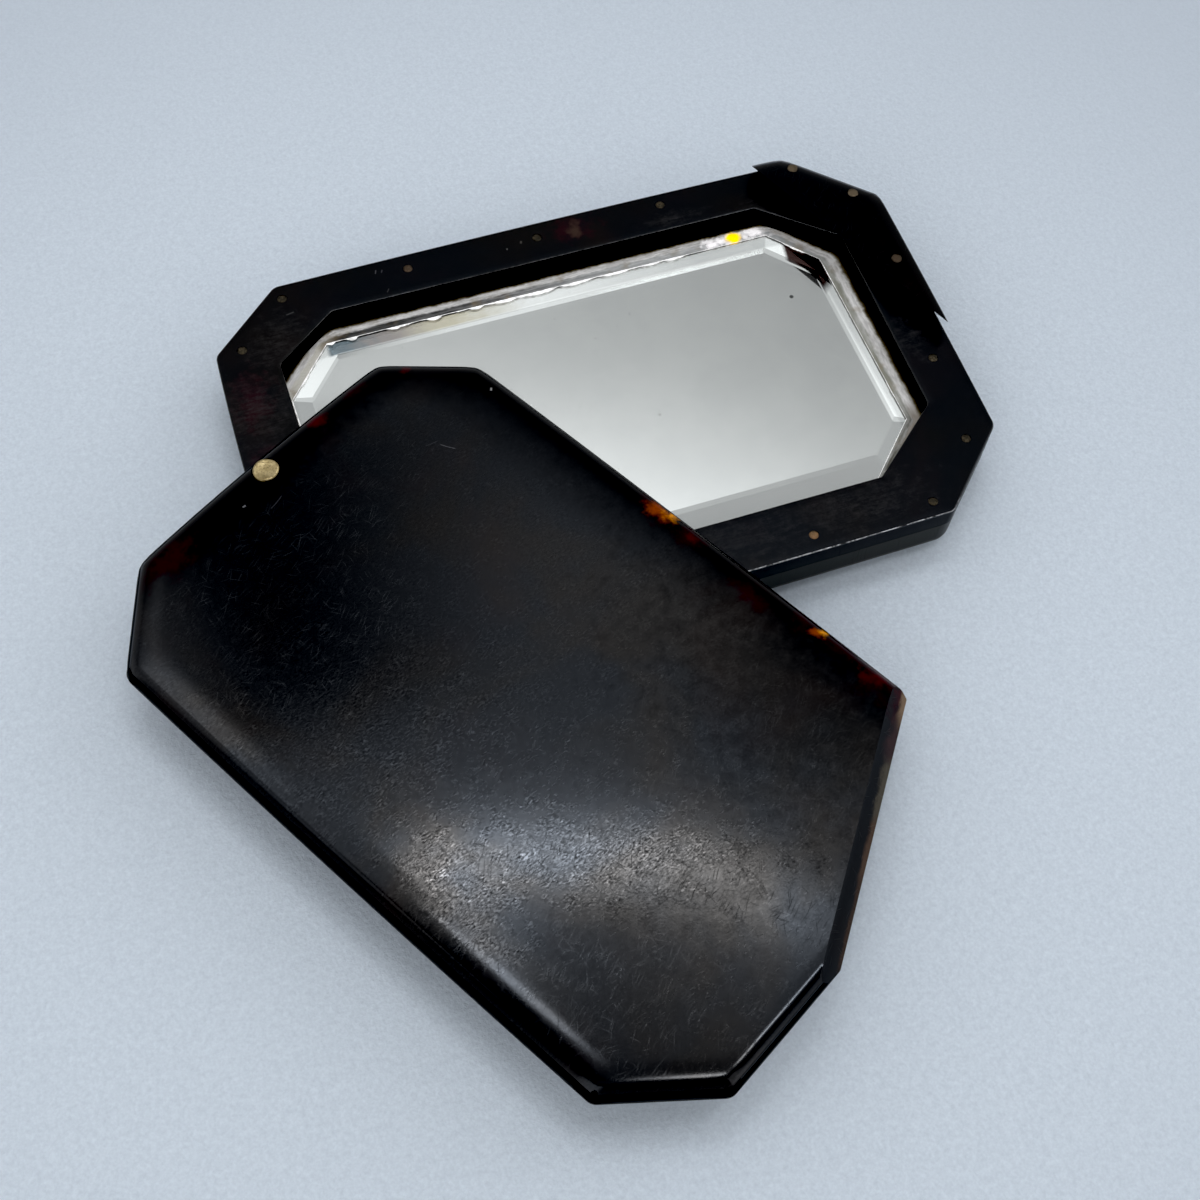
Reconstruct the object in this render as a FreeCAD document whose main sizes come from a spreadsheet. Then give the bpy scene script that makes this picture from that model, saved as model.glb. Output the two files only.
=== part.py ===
import FreeCAD, Part
import math
import os
import Sketcher
from FreeCAD import Placement, Rotation, Vector

# Pocket mirror with a cover that swivels on one rivet.
# Millimetres. Origin: centre of the flat underside of the back plate.
# X runs along the length, from the rivet end (-X) to the fixed corner block (+X).
# Y runs across, Z is up. The cover is drawn closed, then turned open about the rivet.

os.makedirs("parts", exist_ok=True)
doc = FreeCAD.newDocument("pocket_mirror")

# ---------------------------------------------------------------- driving sizes
sheet = doc.addObject("Spreadsheet::Sheet", "Dims")
SIZES = [
    # outline, common to back plate, frame, corner block and cover
    ("length_all", 80.0),
    ("width_all", 51.5),
    ("bow_pivot", 0.43),      # outward bow of the short side at the rivet
    ("bow_stop", 0.09),       # outward bow of the short side at the corner block
    ("bow_long", 0.21),       # outward bow of both long sides
    ("cut_ul_x", 8.35), ("cut_ul_y", 7.6),
    ("cut_ur_x", 8.92), ("cut_ur_y", 8.55),
    ("cut_lr_x", 8.97), ("cut_lr_y", 8.87),
    ("cut_ll_x", 8.6), ("cut_ll_y", 9.2),
    ("plan_round", 2.5),      # rounding of the outline's vertices
    # layers, from the bottom
    ("back_thick", 4.5),
    ("frame_thick", 2.5),
    ("cover_gap", 0.25),
    ("cover_thick", 2.35),
    ("back_round", 1.8),      # rolled lower edge
    ("cover_round", 1.8),     # rolled upper edge
    ("frame_break", 0.1),     # broken top edge of the frame
    # window in the frame
    ("win_left", 33.0), ("win_right", 34.0), ("win_far", 20.25), ("win_near", 19.15),
    ("wcut_ul_x", 7.2), ("wcut_ul_y", 5.4),
    ("wcut_ur_x", 8.3), ("wcut_ur_y", 6.9),
    ("wcut_lr_x", 8.8), ("wcut_lr_y", 7.35),
    ("wcut_ll_x", 8.0), ("wcut_ll_y", 6.6),
    # glass and what is behind it
    ("glass_half_x", 35.6), ("glass_half_y", 20.75), ("glass_shift_y", 0.15), ("glass_cut", 7.75),
    ("flat_half_x", 30.4), ("flat_half_y", 15.35), ("flat_cut", 4.75),
    ("pocket_floor", 2.9),
    ("card_thick", 0.5),
    ("silver_thick", 0.1),
    ("silver_inset", 0.4),
    ("glass_edge", 0.55),
    ("glass_rise", 0.85),
    ("pocket_play", 0.15),
    # diagonal joint between the cover and the corner block
    ("diag_angle", 24.42),    # direction of its outward normal from +X
    ("diag_dist", 36.02),     # its distance from the origin at the cover's underside
    ("diag_bevel", 1.89),     # how far its top edge is set back
    ("stop_play", 0.15),
    # fasteners
    ("pin_dia", 1.04), ("cpin_dia", 1.2), ("pin_play", 0.02), ("pin_recess", 0.05),
    ("pivot_inset", 2.17),
    ("shank_dia", 1.7), ("shank_run", 0.1), ("shank_fit", 0.02),
    ("head_dia", 2.8), ("head_thick", 0.55), ("head_seat", 0.52), ("head_bore", 3.1),
    ("head_dish", 0.1),
    ("burr_dia", 3.0), ("burr_thick", 0.4), ("burr_top", 0.9), ("burr_bore", 3.1),
    ("tail_dia", 2.3), ("tail_bottom", 0.1),
    ("washer_dia", 4.0), ("washer_thick", 0.22),
    ("open_angle", 60.4),     # how far open the cover stands
]
PINS = [(-30.68, 23.6), (-36.58, 17.86), (-15.89, 23.6), (-0.32, 23.55), (15.14, 24.0), (37.07, -6.28),
        (36.07, -17.4), (29.23, -23.75), (15.35, -23.7), (-0.2, -23.7), (-15.6, -23.7), (-30.4, -23.65), (-36.35, -17.2)]
CPINS = [(31.17, 22.6), (36.57, 16.96), (37.56, 6.35)]
for i, (px, py) in enumerate(PINS, 1):
    SIZES += [("pin_%02d_x" % i, px), ("pin_%02d_y" % i, py)]
for i, (px, py) in enumerate(CPINS, 1):
    SIZES += [("cpin_%02d_x" % i, px), ("cpin_%02d_y" % i, py)]
V = {}
for row, (alias, value) in enumerate(SIZES, 1):
    sheet.set("A%d" % row, alias)
    sheet.set("B%d" % row, repr(value))
    sheet.setAlias("B%d" % row, alias)
    V[alias] = value
doc.recompute()

PIVOT_X = -(V["length_all"] / 2 - V["pivot_inset"])


def dims(expr):
    # the expression with every alias written as a cell of the sheet
    out, word = "", ""
    for ch in expr + " ":
        if ch.isalnum() or ch == "_":
            word += ch
        else:
            out += ("Dims." + word if word in V else word) + ch
            word = ""
    return out.strip()


def plane(body, role="XY_Plane"):
    return [f for f in body.Origin.OriginFeatures if f.Role == role][0]


def number(expr):
    # the value of an expression made of aliases, + - * / and brackets
    text = expr.replace(" ", "")
    pos = [0]

    def atom():
        if text[pos[0]] == "(":
            pos[0] += 1
            v = total()
            pos[0] += 1
            return v
        if text[pos[0]] == "-":
            pos[0] += 1
            return -atom()
        start = pos[0]
        while pos[0] < len(text) and (text[pos[0]].isalnum() or text[pos[0]] in "_."):
            pos[0] += 1
        word = text[start:pos[0]]
        if word in ("cos", "sin"):
            return getattr(math, word)(math.radians(atom()))
        return V[word] if word in V else float(word)

    def product():
        v = atom()
        while pos[0] < len(text) and text[pos[0]] in "*/":
            op = text[pos[0]]
            pos[0] += 1
            w = atom()
            v = v * w if op == "*" else v / w
        return v

    def total():
        v = product()
        while pos[0] < len(text) and text[pos[0]] in "+-":
            op = text[pos[0]]
            pos[0] += 1
            w = product()
            v = v + w if op == "+" else v - w
        return v

    return total()


def new_sketch(body, name, z="0", role="XY_Plane"):
    sk = body.newObject("Sketcher::SketchObject", name)
    sk.AttachmentSupport = (plane(body, role), [""])
    sk.MapMode = "FlatFace"
    if z != "0":
        sk.AttachmentOffset = Placement(Vector(0, 0, number(z)), Rotation())
        sk.setExpression("AttachmentOffset.Base.z", dims(z))
    return sk


def polygon(sk, points, bows=None):
    # closed outline through points given as (x, y) expressions, counter-clockwise.
    # bows[i] is the outward bow of the side that starts at point i.
    bows = bows or {}
    xy = [(number(a), number(b)) for a, b in points]
    count = len(xy)
    for i in range(count):
        a, b = Vector(*xy[i], 0), Vector(*xy[(i + 1) % count], 0)
        if i in bows:
            chord = (b - a).Length
            sag = number(bows[i])
            out = Vector((b - a).y, -(b - a).x, 0) / chord
            sk.addGeometry(Part.Arc(a, (a + b) / 2 + out * sag, b), False)
        else:
            sk.addGeometry(Part.LineSegment(a, b), False)
    for i in range(count):
        sk.addConstraint(Sketcher.Constraint("Coincident", i, 2, (i + 1) % count, 1))
    for i in range(count):
        for kind, value, expr in (("DistanceX", xy[i][0], points[i][0]), ("DistanceY", xy[i][1], points[i][1])):
            at = sk.addConstraint(Sketcher.Constraint(kind, -1, 1, i, 1, value))
            sk.setExpression("Constraints[%d]" % at, dims(expr))
    for i, bow in bows.items():
        a, b = points[i], points[(i + 1) % count]
        chord = "((%s)-(%s))" % ((b[0], a[0]) if abs(xy[i][0] - xy[(i + 1) % count][0]) > 1e-9 else (b[1], a[1]))
        radius = "(%s*%s/4+(%s)*(%s))/(2*(%s))" % (chord, chord, bow, bow, bow)
        at = sk.addConstraint(Sketcher.Constraint("Radius", i, number(radius)))
        sk.setExpression("Constraints[%d]" % at, dims(radius))
    return sk


def circles(sk, spots):
    # spots: (x, y, radius) expressions
    for i, (x, y, r) in enumerate(spots):
        sk.addGeometry(Part.Circle(Vector(number(x), number(y), 0), Vector(0, 0, 1), number(r)), False)
        for kind, expr in (("DistanceX", x), ("DistanceY", y)):
            at = sk.addConstraint(Sketcher.Constraint(kind, -1, 1, i, 3, number(expr)))
            sk.setExpression("Constraints[%d]" % at, dims(expr))
        at = sk.addConstraint(Sketcher.Constraint("Radius", i, number(r)))
        sk.setExpression("Constraints[%d]" % at, dims(r))
    return sk


def outline_points():
    xl, xr = "-(length_all/2-bow_pivot)", "(length_all/2-bow_stop)"
    yf, yn = "(width_all/2-bow_long)", "-(width_all/2-bow_long)"
    pts = [
        (xl + "+cut_ll_x", yn), (xr + "-cut_lr_x", yn),
        (xr, yn + "+cut_lr_y"), (xr, yf + "-cut_ur_y"),
        (xr + "-cut_ur_x", yf), (xl + "+cut_ul_x", yf),
        (xl, yf + "-cut_ul_y"), (xl, yn + "+cut_ll_y"),
    ]
    return pts, {0: "bow_long", 2: "bow_stop", 4: "bow_long", 6: "bow_pivot"}


def octagon(hx, hy, cut, cy="0"):
    # symmetric plate with 45 degree cut corners, centred at (0, cy)
    return [
        ("-(%s)+%s" % (hx, cut), "%s-(%s)" % (cy, hy)), ("(%s)-(%s)" % (hx, cut), "%s-(%s)" % (cy, hy)),
        ("(%s)" % hx, "%s-(%s)+%s" % (cy, hy, cut)), ("(%s)" % hx, "%s+(%s)-(%s)" % (cy, hy, cut)),
        ("(%s)-(%s)" % (hx, cut), "%s+(%s)" % (cy, hy)), ("-(%s)+%s" % (hx, cut), "%s+(%s)" % (cy, hy)),
        ("-(%s)" % hx, "%s+(%s)-(%s)" % (cy, hy, cut)), ("-(%s)" % hx, "%s-(%s)+%s" % (cy, hy, cut)),
    ]


def new_body(label):
    body = doc.addObject("PartDesign::Body", label)
    body.Label = label
    return body


def pad(body, sk, length, name):
    p = body.newObject("PartDesign::Pad", name)
    p.Profile = sk
    p.Length = number(length)
    p.setExpression("Length", dims(length))
    doc.recompute()
    return p


def pocket(body, sk, length, name, up=False):
    before = body.Shape.Volume
    p = body.newObject("PartDesign::Pocket", name)
    p.Profile = sk
    p.Length = number(length)
    p.setExpression("Length", dims(length))
    p.Reversed = up
    doc.recompute()
    if body.Shape.Volume >= before - 1e-3:
        raise RuntimeError("%s of %s cuts nothing" % (name, body.Label))
    return p


def round_edges(body, feature, pick, radius, name, kind="Fillet"):
    names = ["Edge%d" % (i + 1) for i, e in enumerate(feature.Shape.Edges) if pick(e)]
    f = body.newObject("PartDesign::" + kind, name)
    f.Base = (feature, names)
    prop = "Radius" if kind == "Fillet" else "Size"
    setattr(f, prop, number(radius))
    f.setExpression(prop, dims(radius))
    doc.recompute()
    return f


def upright(e):
    d = e.Vertexes[0].Point - e.Vertexes[-1].Point
    return len(e.Vertexes) == 2 and abs(d.x) < 1e-6 and abs(d.y) < 1e-6 and abs(d.z) > 0.1


def level(z):
    return lambda e: abs(e.BoundBox.ZMin - z) < 1e-6 and abs(e.BoundBox.ZMax - z) < 1e-6


def slab(label, z, thick):
    # block of the common outline with rounded vertices
    body = new_body(label)
    pts, bows = outline_points()
    sk = polygon(new_sketch(body, label + "_outline", z), pts, bows)
    p = pad(body, sk, thick, label + "_block")
    return body, round_edges(body, p, upright, "plan_round", label + "_corners")


PIN_SPOTS = [("pin_%02d_x" % i, "pin_%02d_y" % i, "(pin_dia+pin_play)/2") for i in range(1, len(PINS) + 1)]
CPIN_SPOTS = [("cpin_%02d_x" % i, "cpin_%02d_y" % i, "(cpin_dia+pin_play)/2") for i in range(1, len(CPINS) + 1)]
PIVOT = ("-(length_all/2-pivot_inset)", "0")
FRAME_TOP = "back_thick+frame_thick"
COVER_BOTTOM = FRAME_TOP + "+cover_gap"
COVER_TOP = COVER_BOTTOM + "+cover_thick"

# ---------------------------------------------------------------- back plate
# lower shell: rolled bottom edge, pocket for card, silvering and glass, holes for pins and rivet
back, f = slab("back_plate", "0", "back_thick")
f = round_edges(back, f, level(0.0), "back_round", "back_rolled_edge")
sk = polygon(new_sketch(back, "glass_pocket_outline", "back_thick"),
             octagon("glass_half_x+pocket_play", "glass_half_y+pocket_play", "glass_cut", "glass_shift_y"))
pocket(back, sk, "back_thick-pocket_floor", "glass_pocket")
sk = circles(new_sketch(back, "back_hole_spots", "back_thick"),
             PIN_SPOTS + CPIN_SPOTS + [PIVOT + ("(shank_dia+shank_fit)/2",)])
pocket(back, sk, "back_thick", "back_holes")
sk = circles(new_sketch(back, "burr_recess_spot", "burr_top"), [PIVOT + ("burr_bore/2",)])
pocket(back, sk, "burr_top", "burr_recess")

# ---------------------------------------------------------------- mirror frame
# flat ring over the glass, sharp outer edge barely broken
frame, f = slab("mirror_frame", "back_thick", "frame_thick")
f = round_edges(frame, f, level(number(FRAME_TOP)), "frame_break", "frame_broken_edge", "Chamfer")
win = [
    ("-win_left+wcut_ll_x", "-win_near"), ("win_right-wcut_lr_x", "-win_near"),
    ("win_right", "-win_near+wcut_lr_y"), ("win_right", "win_far-wcut_ur_y"),
    ("win_right-wcut_ur_x", "win_far"), ("-win_left+wcut_ul_x", "win_far"),
    ("-win_left", "win_far-wcut_ul_y"), ("-win_left", "-win_near+wcut_ll_y"),
]
sk = polygon(new_sketch(frame, "window_outline", FRAME_TOP), win)
pocket(frame, sk, "frame_thick", "window")
sk = circles(new_sketch(frame, "frame_hole_spots", FRAME_TOP),
             PIN_SPOTS + CPIN_SPOTS + [PIVOT + ("(shank_dia+shank_fit)/2",)])
pocket(frame, sk, "frame_thick", "frame_holes")

# ---------------------------------------------------------------- card, silvering, glass
card = new_body("backing_card")
sk = polygon(new_sketch(card, "card_outline", "pocket_floor"),
             octagon("glass_half_x-0.3", "glass_half_y-0.3", "glass_cut", "glass_shift_y"))
pad(card, sk, "card_thick", "card_sheet")

silver = new_body("mirror_silvering")
sk = polygon(new_sketch(silver, "silver_outline", "pocket_floor+card_thick"),
             octagon("glass_half_x-silver_inset", "glass_half_y-silver_inset", "glass_cut", "glass_shift_y"))
pad(silver, sk, "silver_thick", "silver_coat")

GLASS_Z = "pocket_floor+card_thick+silver_thick"
glass = new_body("mirror_glass")
rim = octagon("glass_half_x", "glass_half_y", "glass_cut", "glass_shift_y")
sk = polygon(new_sketch(glass, "glass_outline", GLASS_Z), rim)
pad(glass, sk, "glass_edge", "glass_plate")
low = polygon(new_sketch(glass, "bevel_foot", GLASS_Z + "+glass_edge"), rim)
high = polygon(new_sketch(glass, "bevel_head", GLASS_Z + "+glass_edge+glass_rise"),
               octagon("flat_half_x", "flat_half_y", "flat_cut", "glass_shift_y"))
loft = glass.newObject("PartDesign::AdditiveLoft", "glass_bevel")
loft.Profile = low
loft.Sections = [high]
loft.Ruled = True
doc.recompute()


# ---------------------------------------------------------------- the diagonal joint
def beyond(d, sign):
    # four-sided region on one side of a line parallel to the diagonal, d from the origin
    c, s = "cos(diag_angle)", "sin(diag_angle)"
    far = "(%s%s120)" % (d, "+" if sign > 0 else "-")
    pts = [("%s*%s+80*%s" % (d, c, s), "%s*%s-80*%s" % (d, s, c)),
           ("%s*%s+80*%s" % (far, c, s), "%s*%s-80*%s" % (far, s, c)),
           ("%s*%s-80*%s" % (far, c, s), "%s*%s+80*%s" % (far, s, c)),
           ("%s*%s-80*%s" % (d, c, s), "%s*%s+80*%s" % (d, s, c))]
    return pts if sign > 0 else pts[::-1]


def slanted_cut(body, label, shift, sign):
    # removes what lies beyond the slanted plane of the diagonal
    before = body.Shape.Volume
    z0, z1 = COVER_BOTTOM + "-0.5", COVER_TOP + "+0.5"
    d0 = "(diag_dist+%s+0.5*diag_bevel/cover_thick)" % shift
    d1 = "(diag_dist+%s-diag_bevel-0.5*diag_bevel/cover_thick)" % shift
    a = polygon(new_sketch(body, label + "_low", z0), beyond(d0, sign))
    b = polygon(new_sketch(body, label + "_high", z1), beyond(d1, sign))
    cut = body.newObject("PartDesign::SubtractiveLoft", label)
    cut.Profile = a
    cut.Sections = [b]
    cut.Ruled = True
    doc.recompute()
    if not 0 < body.Shape.Volume < before - 1e-3:
        raise RuntimeError(label + " cuts nothing")


# ---------------------------------------------------------------- corner block
# fixed to the frame, rolled outer edge, undercut towards the cover
corner, f = slab("corner_stop", FRAME_TOP, "cover_gap+cover_thick")
f = round_edges(corner, f, level(number(COVER_TOP)), "cover_round", "corner_rolled_edge")
slanted_cut(corner, "corner_undercut", "stop_play", -1)
sk = circles(new_sketch(corner, "corner_hole_spots", COVER_TOP), CPIN_SPOTS)
pocket(corner, sk, "cover_gap+cover_thick", "corner_holes")

# ---------------------------------------------------------------- swivel cover
# same outline, rolled upper edge, bevelled diagonal, rivet hole with a seat for the head
cover, f = slab("swivel_cover", COVER_BOTTOM, "cover_thick")
f = round_edges(cover, f, level(number(COVER_TOP)), "cover_round", "cover_rolled_edge")
slanted_cut(cover, "cover_bevel", "0", 1)
sk = circles(new_sketch(cover, "rivet_hole_spot", COVER_TOP), [PIVOT + ("(shank_dia+shank_run)/2",)])
pocket(cover, sk, "cover_thick", "rivet_hole")
sk = circles(new_sketch(cover, "head_seat_spot", COVER_TOP), [PIVOT + ("head_bore/2",)])
pocket(cover, sk, "head_seat+0.03", "head_seat")
pivot = Vector(PIVOT_X, 0, 0)
turn = Rotation(Vector(0, 0, 1), -V["open_angle"])
cover.Placement = Placement(pivot - turn.multVec(pivot), turn)

# ---------------------------------------------------------------- rivet, washer, burr
rivet = new_body("pivot_rivet")
sk = rivet.newObject("Sketcher::SketchObject", "rivet_profile")
sk.AttachmentSupport = (plane(rivet, "XZ_Plane"), [""])
sk.MapMode = "FlatFace"
ZS = COVER_TOP + "-head_seat"
polygon(sk, [
    ("0", "tail_bottom"), ("tail_dia/2-0.25", "tail_bottom"), ("tail_dia/2", "tail_bottom+0.2"),
    ("tail_dia/2", "burr_top-burr_thick"), ("shank_dia/2", "burr_top-burr_thick"), ("shank_dia/2", ZS),
    ("head_dia/2", ZS), ("head_dia/2", ZS + "+head_thick-0.12"), ("head_dia/2-0.14", ZS + "+head_thick"),
    ("head_dia/2-0.32", ZS + "+head_thick"), ("0.35", ZS + "+head_thick-head_dish"), ("0", ZS + "+head_thick-head_dish"),
])
rev = rivet.newObject("PartDesign::Revolution", "rivet_turned")
rev.Profile = sk
rev.ReferenceAxis = (sk, ["V_Axis"])
rev.Angle = 360.0
doc.recompute()
rivet.Placement = Placement(pivot, Rotation())

washer = new_body("pivot_washer")
sk = circles(new_sketch(washer, "washer_rings", FRAME_TOP),
             [PIVOT + ("washer_dia/2",), PIVOT + ("(shank_dia+shank_fit)/2",)])
pad(washer, sk, "washer_thick", "washer_disc")

burr = new_body("rivet_burr")
sk = circles(new_sketch(burr, "burr_rings", "burr_top-burr_thick"),
             [PIVOT + ("burr_dia/2",), PIVOT + ("(shank_dia+shank_fit)/2",)])
pad(burr, sk, "burr_thick", "burr_disc")


# ---------------------------------------------------------------- pins
def pin_group(label, prefix, count, dia, top):
    made = []
    for i in range(1, count + 1):
        c = doc.addObject("Part::Cylinder", "%s_%02d" % (label, i))
        c.Radius = number(dia) / 2
        c.Height = number(top) - V["pin_recess"]
        c.Placement = Placement(Vector(V["%s_%02d_x" % (prefix, i)], V["%s_%02d_y" % (prefix, i)], V["pin_recess"]), Rotation())
        c.setExpression("Radius", dims("(%s)/2" % dia))
        c.setExpression("Height", dims("%s-pin_recess" % top))
        c.setExpression("Placement.Base.x", dims("%s_%02d_x" % (prefix, i)))
        c.setExpression("Placement.Base.y", dims("%s_%02d_y" % (prefix, i)))
        c.setExpression("Placement.Base.z", dims("pin_recess"))
        made.append(c)
    group = doc.addObject("Part::Compound", label)
    group.Label = label
    group.Links = made
    return group


pins = pin_group("frame_pins", "pin", len(PINS), "pin_dia", FRAME_TOP)
cpins = pin_group("corner_pins", "cpin", len(CPINS), "cpin_dia", COVER_TOP)
doc.recompute()

# ---------------------------------------------------------------- test and write
for obj in doc.Objects:
    if "Invalid" in obj.State or "Error" in obj.State:
        raise RuntimeError("failed: %s %s" % (obj.Name, obj.State))
NODES = [back, frame, card, silver, glass, corner, cover, rivet, washer, burr, pins, cpins]
for node in NODES:
    shape = node.Shape
    if shape.isNull() or not shape.isValid() or not shape.Solids:
        raise RuntimeError("bad shape: " + node.Label)
    expected = {"frame_pins": len(PINS), "corner_pins": len(CPINS)}.get(node.Label, 1)
    if len(shape.Solids) != expected:
        raise RuntimeError("%s has %d solids" % (node.Label, len(shape.Solids)))
for node in NODES:
    node.Shape.exportStep("parts/%s.step" % node.Label)
    bb = node.Shape.BoundBox
    print("%-17s vol %9.2f  x %7.2f %7.2f  y %7.2f %7.2f  z %5.2f %5.2f" % (
        node.Label, node.Shape.Volume, bb.XMin, bb.XMax, bb.YMin, bb.YMax, bb.ZMin, bb.ZMax))
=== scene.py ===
import math
import random

import bmesh
import bpy
import numpy as np
from mathutils import Matrix, Vector


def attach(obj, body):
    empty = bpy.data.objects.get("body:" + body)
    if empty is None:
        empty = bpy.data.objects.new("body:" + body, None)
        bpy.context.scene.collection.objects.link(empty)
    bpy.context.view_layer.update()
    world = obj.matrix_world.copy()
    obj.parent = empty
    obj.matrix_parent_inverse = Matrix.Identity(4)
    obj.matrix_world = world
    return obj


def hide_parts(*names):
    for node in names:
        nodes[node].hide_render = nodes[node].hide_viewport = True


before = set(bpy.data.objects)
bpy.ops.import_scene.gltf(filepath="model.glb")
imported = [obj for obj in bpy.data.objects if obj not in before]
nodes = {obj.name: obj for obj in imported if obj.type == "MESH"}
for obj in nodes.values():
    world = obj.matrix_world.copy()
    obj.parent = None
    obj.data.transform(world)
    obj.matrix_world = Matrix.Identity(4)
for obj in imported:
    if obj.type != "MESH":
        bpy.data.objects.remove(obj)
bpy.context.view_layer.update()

# Pocket mirror with a swivelling cover. Shapes below are in millimetres in the CAD frame
# and are scaled to metres when the mesh is made.
scene = bpy.context.scene
MM = 0.001

# ------------------------------------------------------------------ sizes, as in the CAD
LENGTH, WIDTH = 80.0, 51.5
BOW = {"pivot": 0.43, "stop": 0.09, "long": 0.21}
CUT = {"ul": (8.35, 7.6), "ur": (8.92, 8.55), "lr": (8.97, 8.87), "ll": (8.6, 9.2)}
PLAN_ROUND = 1.4
Z_BACK, Z_FRAME, Z_COVER, Z_TOP = 4.5, 7.0, 7.25, 9.6
PIVOT = (-37.83, 0.0)
OPEN = -60.4
DIAG = (math.radians(24.42), 36.02, 1.89)
WIN = [(-25.0, -19.15), (25.2, -19.15), (34.0, -11.8), (34.0, 13.35),
       (25.7, 20.25), (-25.8, 20.25), (-33.0, 14.85), (-33.0, -12.55)]
PINS = [(-30.68, 23.6), (-36.58, 17.86), (-15.89, 23.6), (-0.32, 23.55), (15.14, 24.0), (37.07, -6.28),
        (36.07, -17.4), (29.23, -23.75), (15.35, -23.7), (-0.2, -23.7), (-15.6, -23.7), (-30.4, -23.65),
        (-36.35, -17.2)]
CPINS = [(31.17, 22.6), (36.57, 16.96), (37.56, 6.35)]


# ------------------------------------------------------------------ shader helpers
def nd(t, kind, ins=None, **props):
    n = t.nodes.new("ShaderNode" + kind)
    for k, v in props.items():
        setattr(n, k, v)
    for k, v in (ins or {}).items():
        if isinstance(v, bpy.types.NodeSocket):
            t.links.new(v, n.inputs[k])
        else:
            n.inputs[k].default_value = v
    return n


def mth(t, op, a, b=0.0, c=0.0, clamp=False):
    return nd(t, "Math", {0: a, 1: b, 2: c}, operation=op, use_clamp=clamp).outputs[0]


def ramp(t, value, lo, hi, a=0.0, b=1.0, smooth=False):
    return nd(t, "MapRange", {"Value": value, "From Min": lo, "From Max": hi, "To Min": a, "To Max": b},
              interpolation_type="SMOOTHSTEP" if smooth else "LINEAR", clamp=True).outputs[0]


def mixc(t, fac, a, b, how="MIX"):
    n = nd(t, "Mix", {}, data_type="RGBA", blend_type=how)
    for sock, v in ((n.inputs[0], fac), (n.inputs[6], a), (n.inputs[7], b)):
        if isinstance(v, bpy.types.NodeSocket):
            t.links.new(v, sock)
        else:
            sock.default_value = (*v, 1.0) if isinstance(v, tuple) and len(v) == 3 else v
    return n.outputs[2]


def coords(t):
    co = nd(t, "TexCoord").outputs["Object"]
    return nd(t, "VectorMath", {0: co, "Scale": 1000.0}, operation="SCALE").outputs[0]


def noise_at(t, vec, scale, detail=2.0, rough=0.5, shift=0.0, warp=0.0):
    v = nd(t, "VectorMath", {0: vec, 1: (shift, shift * 1.7, shift * 0.6)}, operation="ADD").outputs[0]
    return nd(t, "TexNoise", {"Vector": v, "Scale": scale, "Detail": detail, "Roughness": rough,
                              "Distortion": warp}, noise_dimensions="3D").outputs[0]


def segments(t, vec, angle, along, across, keep, shift):
    # short fine scratches: stretched cells, each kept or not by its own random number
    r = nd(t, "VectorRotate", {"Vector": vec, "Angle": math.radians(angle)}, rotation_type="Z_AXIS").outputs[0]
    s = nd(t, "VectorMath", {0: r, 1: (along, across, 1.0), 2: (shift, shift * 1.3, 0.0)},
           operation="MULTIPLY_ADD").outputs[0]
    v = nd(t, "TexVoronoi", {"Vector": s, "Scale": 1.0, "Randomness": 1.0}, voronoi_dimensions="2D", feature="F1")
    pick = nd(t, "SeparateColor", {0: v.outputs["Color"]}).outputs
    line = ramp(t, v.outputs["Distance"], 0.1, 0.32, 1.0, 0.0)
    gate = mth(t, "LESS_THAN", pick[0], keep)
    return mth(t, "MULTIPLY", mth(t, "MULTIPLY", line, gate), ramp(t, pick[1], 0.0, 1.0, 0.35, 1.0))


def add(t, parts):
    total = None
    for value, weight in parts:
        w = mth(t, "MULTIPLY", value, weight)
        total = w if total is None else mth(t, "ADD", total, w)
    return total


def new_mat(name):
    m = bpy.data.materials.new(name)
    m.use_nodes = True
    t = m.node_tree
    t.nodes.clear()
    out = t.nodes.new("ShaderNodeOutputMaterial")
    b = t.nodes.new("ShaderNodeBsdfPrincipled")
    t.links.new(b.outputs[0], out.inputs[0])
    return m, t, b


def bump(t, b, height, distance):
    n = nd(t, "Bump", {"Strength": 1.0, "Distance": distance, "Height": height})
    t.links.new(n.outputs[0], b.inputs["Normal"])


def spots_mask(t, mm, warp, spots):
    # soft patches (x, y, z, radius, angle, stretch) with edges broken by a noise
    total = None
    for x, y, z, r, ang, pull in spots:
        q = nd(t, "VectorMath", {0: mm, 1: (x, y, z)}, operation="SUBTRACT").outputs[0]
        q = nd(t, "VectorRotate", {"Vector": q, "Angle": math.radians(-ang)}, rotation_type="Z_AXIS").outputs[0]
        q = nd(t, "VectorMath", {0: q, 1: (1.0 / pull, 1.0, 1.0)}, operation="MULTIPLY").outputs[0]
        d = nd(t, "VectorMath", {0: q}, operation="LENGTH").outputs["Value"]
        d = mth(t, "ADD", d, mth(t, "MULTIPLY", mth(t, "SUBTRACT", warp, 0.5), r * 2.4))
        m = ramp(t, d, 0.0, r, 1.0, 0.0, smooth=True)
        total = m if total is None else mth(t, "MAXIMUM", total, m)
    return total


# ------------------------------------------------------------------ materials
SCRATCH = ((-40, 0.30, 6.5, 0.12), (-52, 0.36, 6.5, 0.11), (-28, 0.34, 6.5, 0.10), (-5, 0.36, 6.5, 0.07),
           (33, 0.38, 6.5, 0.06), (70, 0.4, 6.5, 0.06), (112, 0.36, 6.0, 0.05), (-64, 0.22, 6.5, 0.04))


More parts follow.
